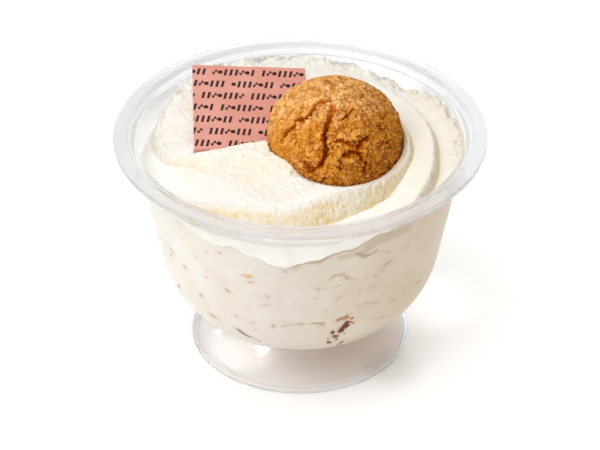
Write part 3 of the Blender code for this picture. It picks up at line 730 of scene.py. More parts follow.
def puddingPaint():
    # pale cream with soft warm clouds, painted tan shade where it stays off the wall, painted shade
    # towards the middle, the right and the bottom, and tiny brown specks
    paint = Finish("puddingPaint", (0.87, 0.79, 0.69), Roughness=0.4, Subsurface_Weight=0.2,
                   Subsurface_Radius=(1.0, 0.7, 0.4), Subsurface_Scale=2 * mm)
    across = paint.axis(0)
    colour = paint.mix(pudding["cloudLight"], pudding["cloudDark"], paint.noise(16, 3).step(0.3, 0.7))
    colour = paint.mix(colour, pudding["blush"], paint.noise(6, 2).step(0.5, 0.8) * 0.6)
    colour = paint.mix(colour, pudding["paleColour"], paint.attribute("pale") * 0.5)
    colour = paint.mix(colour, pudding["haloColour"], paint.attribute("halo") * 0.75)
    colour = paint.mix(colour, pudding["gapShadeColour"], paint.attribute("tan"))
    # painted shade: darker towards the middle, and darker and yellower to the right
    colour = paint.mix(colour, pudding["middlePaintedShade"], across.step(-32, 0), "MULTIPLY")
    colour = paint.mix(colour, pudding["rightPaintedShade"], across.step(-2, 34), "MULTIPLY")
    # painted shade: darker and warmer towards the bottom
    colour = paint.mix(colour, pudding["underPaintedShade"], paint.axis(2).step(15, 10.5))
    specks = paint.noise(1.0, 2, 0.4).step(0.74, 0.79)
    paint.set(Base_Color=paint.mix(colour, pudding["speck"], specks * 0.55))
    return paint.material


dress(turnedForm("puddingBody", *puddingForm()), puddingPaint(), "pudding", "pudding")
print("pudding made")


# Fruit at the wall

def scatteredMarks():
    # small flecks on the sides and the back, and three broken raisins like the one in front
    rng = np.random.default_rng(61)
    count = fruit["scattered"]
    angle = rng.uniform(-30, 210, count)
    height = rng.uniform(16, 51, count)
    wide = 0.16 + 0.5 * rng.random(count) ** 3
    tall = wide * rng.uniform(0.45, 1.0, count)
    lean = rng.uniform(-60, 60, count)
    shade = rng.choice([0.02, 0.18, 0.3, 0.45, 0.5, 0.65, 0.9], count)
    flecks = np.column_stack([angle, height, wide, tall, lean, shade]).tolist()
    for middle, level in fruit["brokenBehind"]:
        for _ in range(fruit["crumbs"]):
            flecks.append([middle + rng.normal() * 2.2, level + rng.normal() * 3.2,
                           rng.uniform(0.25, 1.0), rng.uniform(0.22, 0.6), rng.uniform(-60, 60),
                           rng.choice([0.6, 0.8, 0.95])])
    return flecks


def fruitPieces(name, marks, grid, seed, wider=1.0):
    # each mark is a lens on the wall: over the unit disc its face stands proud by
    # proud - tuck * spread^6, with a ragged outline of 1 + noise, and a point behind it closes it
    unitX, unitY = discGrid(grid)
    spread = np.hypot(unitX, unitY)
    turn = np.arctan2(unitY, unitX)
    edge = discEdge(grid)
    quads = gridQuads(np.arange(grid * grid).reshape(grid, grid))
    fan = np.stack([np.roll(edge, -1), edge, np.full(len(edge), grid * grid)], -1)
    points = []
    for number, (angle, height, wide, tall, lean, shade) in enumerate(marks):
        ragged = 1 + 0.55 * Lumps(seed).layers(roundPoints(1.2, turn, number * 3.7), 1.0, 3)
        size = ragged * fruit["swell"] * wider
        a, b = unitX * wide * size, unitY * tall * size
        cosine, sine = math.cos(math.radians(lean)), math.sin(math.radians(lean))
        along, up = a * cosine - b * sine, a * sine + b * cosine
        spot = np.stack([along, up, np.full(up.shape, number * 2.3)], -1)
        uneven = 0.04 * Lumps(seed + 1).layers(spot, 0.4, 2) * (1 - spread ** 2)
        radius = contentRadius(height + up) + fruit["proud"] - fruit["tuck"] * spread ** 6 + uneven
        middle, there = math.radians(angle), float(contentRadius(np.array(height)))
        points.append(roundPoints(radius, middle + along / there, height + up).reshape(-1, 3))
        points.append(roundPoints(there - fruit["backDepth"], np.array([middle]), height))
    offset = np.arange(len(marks))[:, None, None] * (grid * grid + 1)
    shades = np.repeat([mark[-1] for mark in marks], grid * grid + 1)
    return makeMesh(name, np.concatenate(points), (quads + offset).reshape(-1, 4),
                    (fan + offset).reshape(-1, 3), {"shade": shades})


def fruitPaint(name, colour, soak):
    # orange to brown to nearly black along each fleck's shade, mottled, and moist; soak is the share
    # of the pudding's own colour in it
    paint = Finish(name, colour, Roughness=0.4, Specular_IOR_Level=0.1)
    shade = paint.attribute("shade") + (paint.noise(0.6, 2) - 0.5) * 0.3
    paint.set(Base_Color=paint.mix(paint.ramp(shade, fruit["shades"]), fruit["soakColour"], soak))
    return paint.material


raisinPaint = fruitPaint("raisinPaint", (0.10, 0.03, 0.015), 0.0)
fleckPaint = fruitPaint("fleckPaint", (0.35, 0.18, 0.09), 0.58)
peelPaint = fruitPaint("peelPaint", (0.80, 0.45, 0.13), 0.25)
dress(fruitPieces("brokenRaisin", fruit["raisin"], 11, 62, 1.3), raisinPaint, "raisin", "raisin")
dress(fruitPieces("raisinSliver", fruit["sliver"] + fruit["sliverEnd"], 15, 64), raisinPaint, "raisin",
      "raisin_sliver")
dress(fruitPieces("orangePeel", fruit["peel"], 15, 66), peelPaint, "candied_peel", "candied_peel")
dress(fruitPieces("fruitFlecks", fruit["flecks"], 9, 68), fleckPaint, "raisin")
dress(fruitPieces("flecksBehind", scatteredMarks(), 7, 70), raisinPaint, "raisin")
print("fruit made")


# The whipped cream, and where the square and the macaroon lie on it

cream = {"grid": 262, "skirtRows": 14, "edgeRadius": 43.3, "edgeBand": 8.0, "gap": 0.03,
         "crestRounding": 0.6, "endSlope": 0.6, "pathPoints": 30, "startReach": 43.4,
         # angle, height at the wall, and height at the inner side of the edge's band
         "edge": ((-180, 56.6, 59.0), (-150, 57.2, 59.8), (-120, 58.2, 60.3), (-90, 58.5, 59.4),
                  (-60, 59.6, 60.0), (-35, 61.0, 60.8), (-10, 62.2, 60.6), (15, 62.0, 60.8),
                  (32, 62.0, 61.4), (45, 60.0, 61.6), (60, 60.6, 62.2), (80, 62.6, 63.2),
                  (105, 63.4, 63.6), (125, 63.6, 63.6), (142, 61.4, 62.8), (156, 57.0, 61.0)),
         # folds, wound inwards: slope of the inner face, share of the torn crest, and the crest's
         # angle, radius, height and steepness of the outer face
         "folds": {"inner": (0.05, 1.0, ((138, 42.4, 63.5, 1.6), (162, 40.4, 61.5, 2.6),
                                         (179, 37.2, 61.0, 2.4), (190, 33.2, 61.5, 1.4),
                                         (194.3, 25.6, 63.0, 0.5), (206, 16.5, 64.5, 0.45),
                                         (228, 14.2, 65.0, 0.45), (261, 14.3, 66.0, 0.5))),
                   "middle": (0.07, 0.3, ((212, 42.5, 59.0, 0.6), (226, 38.1, 61.0, 0.6),
                                          (243, 34.8, 62.0, 0.65), (264, 33.3, 63.5, 0.9),
                                          (286, 30.0, 65.3, 1.2), (312, 30.2, 66.0, 2.0),
                                          (341, 29.3, 66.0, 2.4), (380, 27.5, 64.5, 2.0),
                                          (415, 26.0, 64.0, 1.5))),
                   "outer": (0.28, 0.3, ((286, 43.8, 59.6, 1.6), (309, 41.9, 61.5, 2.0),
                                         (330, 39.0, 64.0, 2.4), (352, 36.0, 64.0, 2.6),
                                         (387, 34.6, 64.0, 2.2), (430, 33.5, 64.8, 1.6),
                                         (475, 34.5, 65.2, 1.2))),
                   "tuck": (0.35, 0.5, ((192, 24.0, 62.8, 0.5), (199, 16.3, 65.0, 0.6),
                                        (214, 9.8, 66.0, 0.7), (248, 9.0, 66.0, 0.6)))},
         "smooth": (0.90, 0.885, 0.84), "airy": (0.84, 0.83, 0.785), "hollow": (0.83, 0.745, 0.585),
         "grain": (0.76, 0.69, 0.56), "ivoryShade": (0.78, 0.62, 0.35), "crease": (0.86, 0.66, 0.28),
         "crest": (0.70, 0.67, 0.62), "warm": (0.88, 0.72, 0.47), "rightPaintedShade": (0.955, 0.925, 0.865),
         "sideLight": (0.945, 0.92, 0.875), "sideDark": (0.895, 0.85, 0.78)}
square = {"side": 31.3, "thick": 1.8, "rounding": 0.25, "corner": np.array((-28.5, -5.1, 63.5)),
          "normal": np.array((0.089, -0.261, 0.961)), "edge": np.array((31.2, 2.0, -2.36)),
          "bedDepth": 1.1, "bedInset": 4.0, "bedSlope": 1.6,
          # rows of marks: their pitch, one mark's width, each row's shift, half height, marks per group
          "pitch": 4.42, "mark": 1.5, "shift": 5.1, "tall": 1.25, "group": 9,
          "pinkDark": (0.66, 0.28, 0.215), "pinkLight": (0.71, 0.33, 0.26), "ink": (0.025, 0.008, 0.01)}
macaroon = {"radius": 18.3, "dome": 13.4, "underside": 3.6, "baseRadius": 14.0, "place": (9.4, -1.4),
            "gap": 0.3, "hollowLift": 1.0, "hollowSlope": 0.62, "grid": 280, "underRows": 12,
            # half width, depth, darkness of the painted shade in it, then points seen from above the dome
            "cracks": ((0.85, 0.8, 0.2, ((-1.9, -1.6), (-2.4, -3.2), (-3.0, -5.1))),
                       (0.68, 1.6, 0.75, ((-2.9, -4.6), (-3.6, -6.4), (-4.3, -8.2))),
                       (0.55, 2.2, 1.0, ((-4.2, -7.9), (-4.8, -10.0), (-4.4, -12.0), (-4.1, -13.4),
                                         (-4.3, -14.7), (-5.1, -15.8))),
                       (0.58, 1.3, 0.3, ((-2.6, 0.8), (-5.2, 0.7), (-6.7, -0.3), (-7.3, -1.5))),
                       (0.60, 1.7, 1.0, ((-7.2, -1.4), (-7.6, -2.2), (-8.1, -3.2))),
                       (0.50, 1.4, 0.8, ((-8.1, -3.2), (-9.2, -4.1), (-10.1, -4.3), (-11.2, -3.7))),
                       (0.42, 1.1, 0.9, ((-11.2, -3.7), (-12.3, -5.3), (-13.3, -5.7), (-14.1, -6.3),
                                         (-15.1, -6.4))),
                       (0.38, 1.0, 0.8, ((3.3, -2.2), (2.1, -3.6), (1.4, -4.9), (0.3, -5.7))),
                       (0.48, 1.5, 0.9, ((7.7, -9.3), (6.0, -10.9), (4.9, -12.2), (4.5, -13.2),
                                         (2.9, -14.1), (1.6, -14.6), (0.5, -14.6))),
                       (0.48, 1.4, 0.9, ((4.5, -13.2), (5.3, -14.0), (6.0, -14.8))),
                       (0.34, 0.9, 0.7, ((-1.6, -11.4), (0.6, -11.6), (2.4, -12.0), (4.7, -12.4))),
                       (0.34, 0.9, 0.8, ((-0.3, -15.8), (0.0, -17.0))),
                       (0.62, 1.8, 1.0, ((7.3, -15.1), (7.0, -15.9))),
                       (0.34, 0.9, 0.7, ((10.3, -5.0), (12.2, -6.0), (13.2, -7.5), (13.7, -9.4))),
                       (0.34, 1.0, 0.8, ((-9.5, -14.6), (-7.7, -15.9), (-5.7, -16.1), (-5.1, -15.8))),
                       (0.34, 0.9, 0.8, ((-4.1, -17.4), (-4.5, -17.7))),
                       (0.30, 0.8, 0.5, ((5.3, 13.0), (7.8, 10.5), (8.3, 6.6), (11.2, 7.1),
                                         (14.3, 7.5))),
                       (0.55, 1.4, 1.0, ((-14.7, -5.9), (-15.0, -6.4))),
                       (0.34, 0.8, 0.5, ((-3.5, 13.0), (-6.2, 11.6), (-8.8, 12.3), (-11.6, 10.6)))),
            "plates": [(0.15, (0.68, 0.29, 0.065)), (0.5, (0.86, 0.45, 0.135)),
                       (0.9, (0.97, 0.65, 0.33))],
            "toast": (0.72, 0.27, 0.012), "spotDark": (0.42, 0.115, 0.006),
            "spotLight": (0.94, 0.56, 0.20), "pockShade": (0.22, 0.045, 0.004),
            "edgeLeft": (0.42, 0.115, 0.008), "edgeShadedRight": (0.24, 0.06, 0.005),
            "rightPaintedShade": (0.80, 0.72, 0.60), "split": (0.58, 0.15, 0.004), "dark": (0.25, 0.025, 0.0)}


def squareAxes():
    # along the front edge, towards the back, and out of the face
    normal = square["normal"] / np.linalg.norm(square["normal"])
    right = square["edge"] - (square["edge"] @ normal) * normal
    right = right / np.linalg.norm(right)
    return right, np.cross(normal, right), normal


def squareFrame(x, y):
    # places on the square's face over points x, y: along it, up it, and the face's height there
    right, back, normal = squareAxes()
    corner = square["corner"]
    plane = corner[2] - (normal[0] * (x - corner[0]) + normal[1] * (y - corner[1])) / normal[2]
    offset = np.stack([x - corner[0], y - corner[1], plane - corner[2]], -1)
    return offset @ right, offset @ back, plane


def macaroonCentre():
    # it rests on the square's plane, a gap above it
    x, y = macaroon["place"]
    plane = float(squareFrame(np.array(x), np.array(y))[2])
    return np.array([x, y, plane + (macaroon["underside"] + macaroon["gap"]) / squareAxes()[2][2]])


def foldPath(crest):
    # points along a crest by Catmull-Rom: x, y, height, steepness
    crest = np.array(crest, float)
    ends = np.vstack([2 * crest[0] - crest[1], crest, 2 * crest[-1] - crest[-2]])
    fine = cream["pathPoints"]
    along = np.arange((len(crest) - 1) * fine + 1) / fine
    place = np.minimum(along.astype(int), len(crest) - 2) + 1
    path = blendKnots(ends, place, along - place + 1)
    turn = np.radians(path[:, 0])
    return np.column_stack([path[:, 1] * np.cos(turn), path[:, 1] * np.sin(turn), path[:, 2:]])


def foldHeight(x, y, crest, inwardSlope):
    # crest height - slope * (sqrt(d^2 + c^2) - c), d the distance from the crest, c its rounding;
    # the slope is steep on the outer side and gentle on the inner one; handed back with d
    path = foldPath(crest)
    step = np.gradient(path[:, :2], axis=0)
    reach = np.linalg.norm(step, axis=1)[:, None]
    step /= reach
    rise = np.gradient(path[:, 2:], axis=0) / reach
    nearest = ((x[..., None] - path[:, 0]) ** 2 + (y[..., None] - path[:, 1]) ** 2).argmin(axis=-1)
    east, north = x - path[nearest, 0], y - path[nearest, 1]
    outward = east * step[nearest, 1] - north * step[nearest, 0]
    along = east * step[nearest, 0] + north * step[nearest, 1]
    pastEnd = np.where(nearest == 0, -along, np.where(nearest == len(path) - 1, along, 0))
    along = np.where(pastEnd > 0, 0, np.clip(along, -1, 1))
    height = path[nearest, 2] + rise[nearest, 0] * along
    slope = np.where(outward > 0, path[nearest, 3] + rise[nearest, 1] * along, inwardSlope)
    fall = np.sqrt(outward ** 2 + cream["crestRounding"] ** 2) - cream["crestRounding"]
    return height - slope * fall - cream["endSlope"] * np.maximum(pastEnd, 0), outward


def macaroonHollow(x, y):
    # the front fold stays under a cone that opens round the macaroon's widest line
    normal = squareAxes()[2]
    offset = np.stack([x, y], -1) - np.array(macaroon["place"])
    distance = np.linalg.norm(offset, axis=-1)
    edge = offset * (macaroon["radius"] / np.maximum(distance, 0.3))[..., None]
    level = macaroonCentre()[2] - (edge @ normal[:2]) / normal[2]
    beyond = np.maximum(distance - macaroon["radius"], 0)
    return level + macaroon["hollowLift"] + macaroon["hollowSlope"] * beyond


def creamHeights(x, y):
    # heights of all the forms whose highest is the cream: edge, bed of the square and four folds;
    # and for each how far out from its crest the place lies
    angle = np.degrees(np.arctan2(y, x))
    atWall, inner = np.moveaxis(roundTable(cream["edge"], angle), -1, 0)
    inwards = np.clip((cream["edgeRadius"] - np.hypot(x, y)) / cream["edgeBand"], -0.4, 1.2)
    east, north, plane = squareFrame(x, y)
    inset, limit = square["bedInset"], square["side"] - square["bedInset"]
    outside = np.maximum.reduce([inset - east, east - limit, north - limit, -north, np.zeros_like(east)])
    heights = [atWall + (inner - atWall) * inwards,
               plane - square["bedDepth"] - square["bedSlope"] * outside]
    outwards = [np.full(x.shape, -9.0), np.full(x.shape, -9.0)]
    for name, (inwardSlope, _, crest) in cream["folds"].items():
        height, outward = foldHeight(x, y, crest, inwardSlope)
        if name == "middle":
            height = np.minimum(height, macaroonHollow(x, y))
        heights.append(height)
        outwards.append(outward)
    return np.array(heights), np.array(outwards)


def creamTop(x, y):
    # the highest of the forms
    return creamHeights(x, y)[0].max(axis=0)


def froth(points):
    # airy relief between about -1 and 1: bubbly bumps 1 - 2.2 near^2 of random cells, fine noise, and
    # noise drawn out downwards like torn cream
    near = Lumps(31).cells(points, 1.15)[0]
    bumps = 1 - 2.2 * near ** 2
    fine = Lumps(32).layers(points, 1.0, 2)
    torn = Lumps(33).layers(points * np.array([1, 1, 0.35]), 1.5, 3)
    return 0.4 * bumps + 0.45 * fine + 0.25 * torn


def creamForm():
    # sheet points over the disc at the greatest of the heights, pushed out along the smooth form's
    # normal by froth * amount, where amount is large on steep, torn and airy parts
    unitX, unitY = discGrid(cream["grid"])
    angle = np.arctan2(unitY, unitX)
    reach = np.full(angle.shape, cream["startReach"])
    for _ in range(3):
        # the edge lies on the wall at its own height
        reach = contentRadius(creamTop(reach * np.cos(angle), reach * np.sin(angle)))
    spread = np.hypot(unitX, unitY)
    x, y = reach * unitX, reach * unitY
    heights, outwards = creamHeights(x, y)
    runnerUp, height = np.sort(heights, axis=0)[-2:]
    which = heights.argmax(axis=0)
    outward = np.take_along_axis(outwards, which[None], axis=0)[0]
    step = 0.5
    slopeX = (creamTop(x + step, y) - creamTop(x - step, y)) / (2 * step)
    slopeY = (creamTop(x, y + step) - creamTop(x, y - step)) / (2 * step)
    steep = np.hypot(slopeX, slopeY)
    points = np.stack([x, y, height], -1)
    normal = np.stack([-slopeX, -slopeY, np.ones_like(x)], -1)
    normal /= np.linalg.norm(normal, axis=-1)[..., None]
    values, smoothTop, ragged = creamMasks(points, angle, spread, steep, outward, which)
    air = froth(points)
    amount = (air - 0.1) * (0.05 + 0.40 * values["rough"]) * ease(1.0, 0.985, spread)
    points += normal * amount[..., None]
    streaked = np.stack([np.degrees(angle) * 0.75, spread * 4, 0 * x], -1)
    streaks = Lumps(37).layers(streaked, 1.4, 2)
    points[..., 2] += 0.02 * smoothTop * streaks
    torn = np.exp(-((outwards[2:] + 0.1) / 0.28) ** 2) * ease(-0.5, -0.05, heights[2:] - height)
    shares = np.array([share for _, share, _ in cream["folds"].values()])[:, None, None]
    crest = (torn * shares).max(axis=0) * (1 - 0.7 * smoothTop)
    crest = crest * ease(-0.4, 0.4, Lumps(39).layers(points, 2.2, 2))
    points[..., 2] += 0.45 * crest
    points[..., 2] += ragged * Lumps(36).layers(points, 3.6, 3) * 1.3
    points[..., 2] += 0.18 * Lumps(38).layers(points, 6.0, 2) * (1 - ragged)
    # painted yellow shade where two forms meet on a steep slope
    crease = np.exp(-((height - runnerUp) / 0.4) ** 2) * ease(0.45, 0.9, steep)
    values.update(air=air, crest=crest, crease=crease * (0.3 + 0.7 * ease(-36, -22, x)))
    return points, values, angle


def creamMasks(points, angle, spread, steep, outward, which):
    # rough: 1 where the cream is torn or airy; low: the lower part of the folds' outer faces, for painted
    # shade; a mask close to the macaroon, for painted shade there; side: the part at the wall, which is
    # painted lighter; and where the top is smooth or ragged
    x, y = points[..., 0], points[..., 1]
    radius = np.hypot(x, y)
    degrees = np.degrees(angle)
    smoothTop = zone(degrees, -55, 75, 20) * zone(radius, 31.5, 45, 3)
    smoothBand = zone(degrees, -178, -100, 12) * zone(radius, 37.5, 50, 3)
    patches = ease(-0.5, 0.4, Lumps(35).at(points, 8.0))
    face = ease(-0.6, 0.5, outward)
    backRight = ease(-25, 5, degrees) * ease(170, 150, degrees)
    ragged = ease(0.86, 0.97, spread) * backRight
    rough = np.maximum.reduce([0.4 * (1 - np.maximum(smoothTop, smoothBand)) * (0.35 + 0.65 * patches),
                               ease(0.45, 1.0, steep), face * (0.75 + 0.25 * patches),
                               0.8 * ease(17, 8, np.hypot(x + 5, y + 19)), 0.9 * ragged,
                               0.7 * zone(degrees, 65, 150, 15) * ease(29, 33, radius)])
    gentle = np.where(np.isin(which, (2, 5)), 0.3, 1)  # the inner fold and the tuck
    beside = np.hypot(x - macaroon["place"][0], y - macaroon["place"][1]) - macaroon["radius"]
    values = {"rough": rough, "low": face * ease(0.2, 2.2, outward) * gentle,
              "warm": ease(2.4, 0.4, beside), "side": ease(0.985, 1.0, spread)}
    return values, smoothTop, ragged


def underThings(points):
    # the cream keeps below the square's underside and the macaroon's underside
    x, y = points[..., 0], points[..., 1]
    east, north, plane = squareFrame(x, y)
    far = square["side"] + 0.25
    inside = (east > -0.25) & (east < far) & (north > -0.25) & (north < far)
    lowered = np.minimum(points[..., 2], plane - square["thick"] - 0.12)
    points[..., 2] = np.where(inside, lowered, points[..., 2])
    right, back, normal = squareAxes()
    local = points - macaroonCentre()
    across = np.hypot(local @ right, local @ back)
    up = local @ normal
    reach = macaroon["radius"] + macaroon["gap"]
    side = np.clip(1 - (across / reach) ** 2, 0, 1) ** 0.5
    inwards = np.clip((reach - across) / (macaroon["radius"] - macaroon["baseRadius"]), 0, 1)
    below = -(macaroon["underside"] + macaroon["gap"]) * inwards ** 0.5
    within = (across < reach) & (up < macaroon["dome"] * side) & (up > below)
    points[..., 2] = np.where(within, points[..., 2] - (up - below) / normal[2], points[..., 2])
    return points


def whippedCream():
    # the sheet, a skirt down the wall to the line of the pudding, and rows inwards over the pudding
    points, values, angle = creamForm()
    points = underThings(points)
    edge = discEdge(cream["grid"])
    turn = angle.ravel()[edge]
    rimHeight = points.reshape(-1, 3)[edge, 2]
    bottom = layerHeight(np.degrees(turn)) + cream["gap"]
    share = np.linspace(0, 1, cream["skirtRows"] + 1)[1:, None]
    skirt = rimHeight + (bottom - rimHeight) * share
    inward = np.array([[0.7], [0.35]])
    rows = np.concatenate([roundPoints(contentRadius(skirt), turn, skirt),
                           roundPoints(contentRadius(bottom) * inward, turn,
                                       capHeight(bottom, inward) + 0.05)])
    below = {"rough": 0.25, "air": 0.6, "side": 1}
    return closedForm("swirledCream", points, rows,
                      {label: (numbers, below.get(label, 0)) for label, numbers in values.items()})


def creamPaint():
    # white, with painted ivory shade in the hollows and the fine grain of the rough parts, and painted
    # yellow shade where folds meet
    paint = Finish("creamPaint", (0.93, 0.91, 0.84), Roughness=0.5, Subsurface_Weight=0.12,
                   Subsurface_Radius=(1.0, 0.85, 0.6), Subsurface_Scale=1.2 * mm,
                   Specular_IOR_Level=0.3)
    rough = paint.attribute("rough")
    blotches = paint.noise(9, 3).step(0.3, 0.7)
    # painted shade in the froth's hollows
    hollow = (0.25 - paint.attribute("air")).step(-0.5, 0.9) * rough * (0.5 + 0.5 * blotches)
    colour = paint.mix(cream["smooth"], cream["airy"], rough)
    colour = paint.mix(colour, cream["hollow"], hollow)
    # painted shade of the froth's fine bumps, as fine specks
    grain = paint.noise(0.75, 3, 0.6).step(0.47, 0.34)
    colour = paint.mix(colour, cream["grain"], grain * rough * 0.55)
    speck = paint.noise(1.3, 4, 0.7).step(0.42, 0.60)
    # painted ivory shade low on the folds' outer faces
    low = paint.attribute("low") * (0.4 + 0.6 * blotches) * (0.45 + 0.85 * speck)
    colour = paint.mix(colour, cream["ivoryShade"], low)
    # painted yellow shade in the creases
    colour = paint.mix(colour, cream["crease"], paint.attribute("crease") * 0.85)
    # painted shadow line along the torn crests
    colour = paint.mix(colour, cream["crest"], paint.attribute("crest") * 0.6)
    # painted warm shade next to the macaroon
    colour = paint.mix(colour, cream["warm"], paint.attribute("warm") * 0.7)
    # painted shade: darker and yellower to the right
    colour = paint.mix(colour, cream["rightPaintedShade"], paint.axis(0).step(14, 34), "MULTIPLY")
    # painted light: the cream at the wall is lighter than the top, against the rim's shade, and mottled at
    # random
    litSideMottle = paint.mix(cream["sideLight"], cream["sideDark"], paint.noise(7, 3, 0.6).step(0.4, 0.7))
    paint.set(Base_Color=paint.mix(colour, litSideMottle, paint.attribute("side")))
    paint.bump(paint.noise(1.0, 2, 0.5) * (0.2 + 0.8 * rough), 0.5)
    return paint.material


dress(whippedCream(), creamPaint(), "whipped_cream", "whipped_cream")
print("cream made")


# The chocolate square

def chocolateSquare():
    # a slab of grid points on all six faces, rounded by pushing each point to within the rounding
    # of a smaller box; it bends a little across its middle
    side, thick, rounding = square["side"], square["thick"], square["rounding"]
    near = np.array([0, 0.05, 0.12, 0.2, 0.3])
    line = np.concatenate([near, np.linspace(0.6, side - 0.6, 48), side - near[::-1]])
    deep = np.array([0, 0.05, 0.12, 0.2, 0.4, 0.9, 1.4, 1.6, 1.68, 1.75, 1.8]) - thick
    points, quads = [], []
    start = 0
    for fixed, far in np.ndindex(3, 2):
        lines = [line, line, deep]
        lines[fixed] = np.array([lines[fixed][-far]])
        grid = np.stack(np.meshgrid(*lines, indexing="ij"), -1).squeeze(axis=fixed)
        quad = gridQuads(start + np.arange(grid[..., 0].size).reshape(grid.shape[:2]))
        if (far == 1) == (fixed == 1):
            quad = quad[:, ::-1]
        points.append(grid.reshape(-1, 3))
        quads.append(quad)
        start += len(points[-1])
    points = np.concatenate(points)
    core = np.clip(points, [rounding, rounding, rounding - thick],
                   [side - rounding, side - rounding, -rounding])
    away = points - core
    length = np.linalg.norm(away, axis=1)[:, None]
    points = np.where(length > 1e-6, core + away / np.maximum(length, 1e-6) * rounding, points)
    plane = points[:, :2].copy()
    upper = ease(-0.5, -0.2, points[:, 2])
    points[:, 2] += 0.05 * Lumps(41).layers(points, 14.0, 2)
    placed = square["corner"] + points @ np.array(squareAxes())
    piece = makeMesh("chocolateSquareFace", placed, np.concatenate(quads), values={"upper": upper})
    uv = piece.data.uv_layers.new(name="face")
    loops = np.zeros(len(piece.data.loops), int)
    piece.data.loops.foreach_get("vertex_index", loops)
    uv.data.foreach_set("uv", (plane[loops] / side).ravel())
    piece.modifiers.new("Weld", "WELD").merge_threshold = 0.01 * mm
    return piece


def squarePaint():
    # pink chocolate with rows of plain dark marks in groups: slanted strokes, waves and dots
    paint = Finish("squarePaint", (0.76, 0.34, 0.27), Roughness=0.4, Specular_IOR_Level=0.2)
    face = paint.node("ShaderNodeUVMap", {"uv_map": "face"})
    across, up = (paint.node("ShaderNodeSeparateXYZ", None, {0: face}, output=number) * square["side"]
                  for number in range(2))
    pitch, mark, tall = square["pitch"], square["mark"], square["tall"]
    row = (up / pitch).math("FLOOR")
    inRow = up - row * pitch - pitch / 2
    along = across + row * square["shift"] + 60
    turn = (along / mark).math("FLOOR")
    inMark = along - turn * mark - mark / 2
    kind = (turn * 7 + row * 3).math("FLOORED_MODULO", 5)
    stroke = abs(inMark - inRow * 0.22).step(0.42, 0.30) * abs(inRow).step(tall, tall - 0.1)
    sine = (inMark * math.tau / mark).math("SINE")
    wave = abs(inRow - sine * 0.6).step(0.50, 0.36)
    dot = (inMark * inMark + inRow * inRow).step(0.52, 0.40)
    isWave, isDot = kind.math("COMPARE", 1, 0.5), kind.math("COMPARE", 3, 0.5)
    ink = stroke * (1 - isWave) * (1 - isDot) + wave * isWave + dot * isDot
    written = turn.math("FLOORED_MODULO", square["group"]).math("GREATER_THAN", 0.5)
    ink = (ink * written).math("MINIMUM", 1) * paint.attribute("upper")
    pink = paint.mix(square["pinkDark"], square["pinkLight"], paint.noise(9, 2).step(0.3, 0.7))
    paint.set(Base_Color=paint.mix(pink, square["ink"], ink))
    paint.bump(paint.noise(1.6, 3), 0.03, 0.4)
    return paint.material


dress(chocolateSquare(), squarePaint(), "pink_chocolate", "chocolate_square")
print("square made")


# The macaroon

def crackDepth(x, y, wander):
    # depth * exp(-(distance / half width)^4) under the nearest crack line, seen from above the dome,
    # and in the same way its painted shade, in 0.8 of the width
    depth = np.zeros(x.shape)
    dark = np.zeros(x.shape)
    place = np.stack([x, y], -1) + wander
    for width, most, darkness, line in macaroon["cracks"]:
        line = np.array(line)
        for start, end in zip(line, line[1:]):
            run = end - start
            share = np.clip(((place - start) @ run) / (run @ run), 0, 1)
            away = np.linalg.norm(place - start - share[..., None] * run, axis=-1)
            depth = np.maximum(depth, most * np.exp(-(away / width) ** 4))
            dark = np.maximum(dark, darkness * np.exp(-(away / width / 0.8) ** 4))
    return depth, dark


def macaroonForm():
    # dome: radius R * spread^0.92, height D * rise, for unit directions spread over the disc;
    # under it the side draws in to a flat base
    unitX, unitY = discGrid(macaroon["grid"])
    turn = np.arctan2(unitY, unitX)
    tilt = np.hypot(unitX, unitY) * math.pi / 2
    radius, base = macaroon["radius"], macaroon["baseRadius"]
    dome = roundPoints(radius * np.sin(tilt) ** 0.92, turn, macaroon["dome"] * np.cos(tilt))
    down = np.linspace(0, 1, macaroon["underRows"] + 1)[1:, None]
    share = np.minimum(down / 0.5, 1)
    flatBase = base * (1 - (down - 0.5) / 0.5 * 0.98)
    reach = np.where(down < 0.5, radius - (radius - base) * share ** 2, flatBase)
    height = -macaroon["underside"] * np.sin(share * math.pi / 2) ** 0.9
    return dome, roundPoints(reach, turn.ravel()[discEdge(macaroon["grid"])], height)


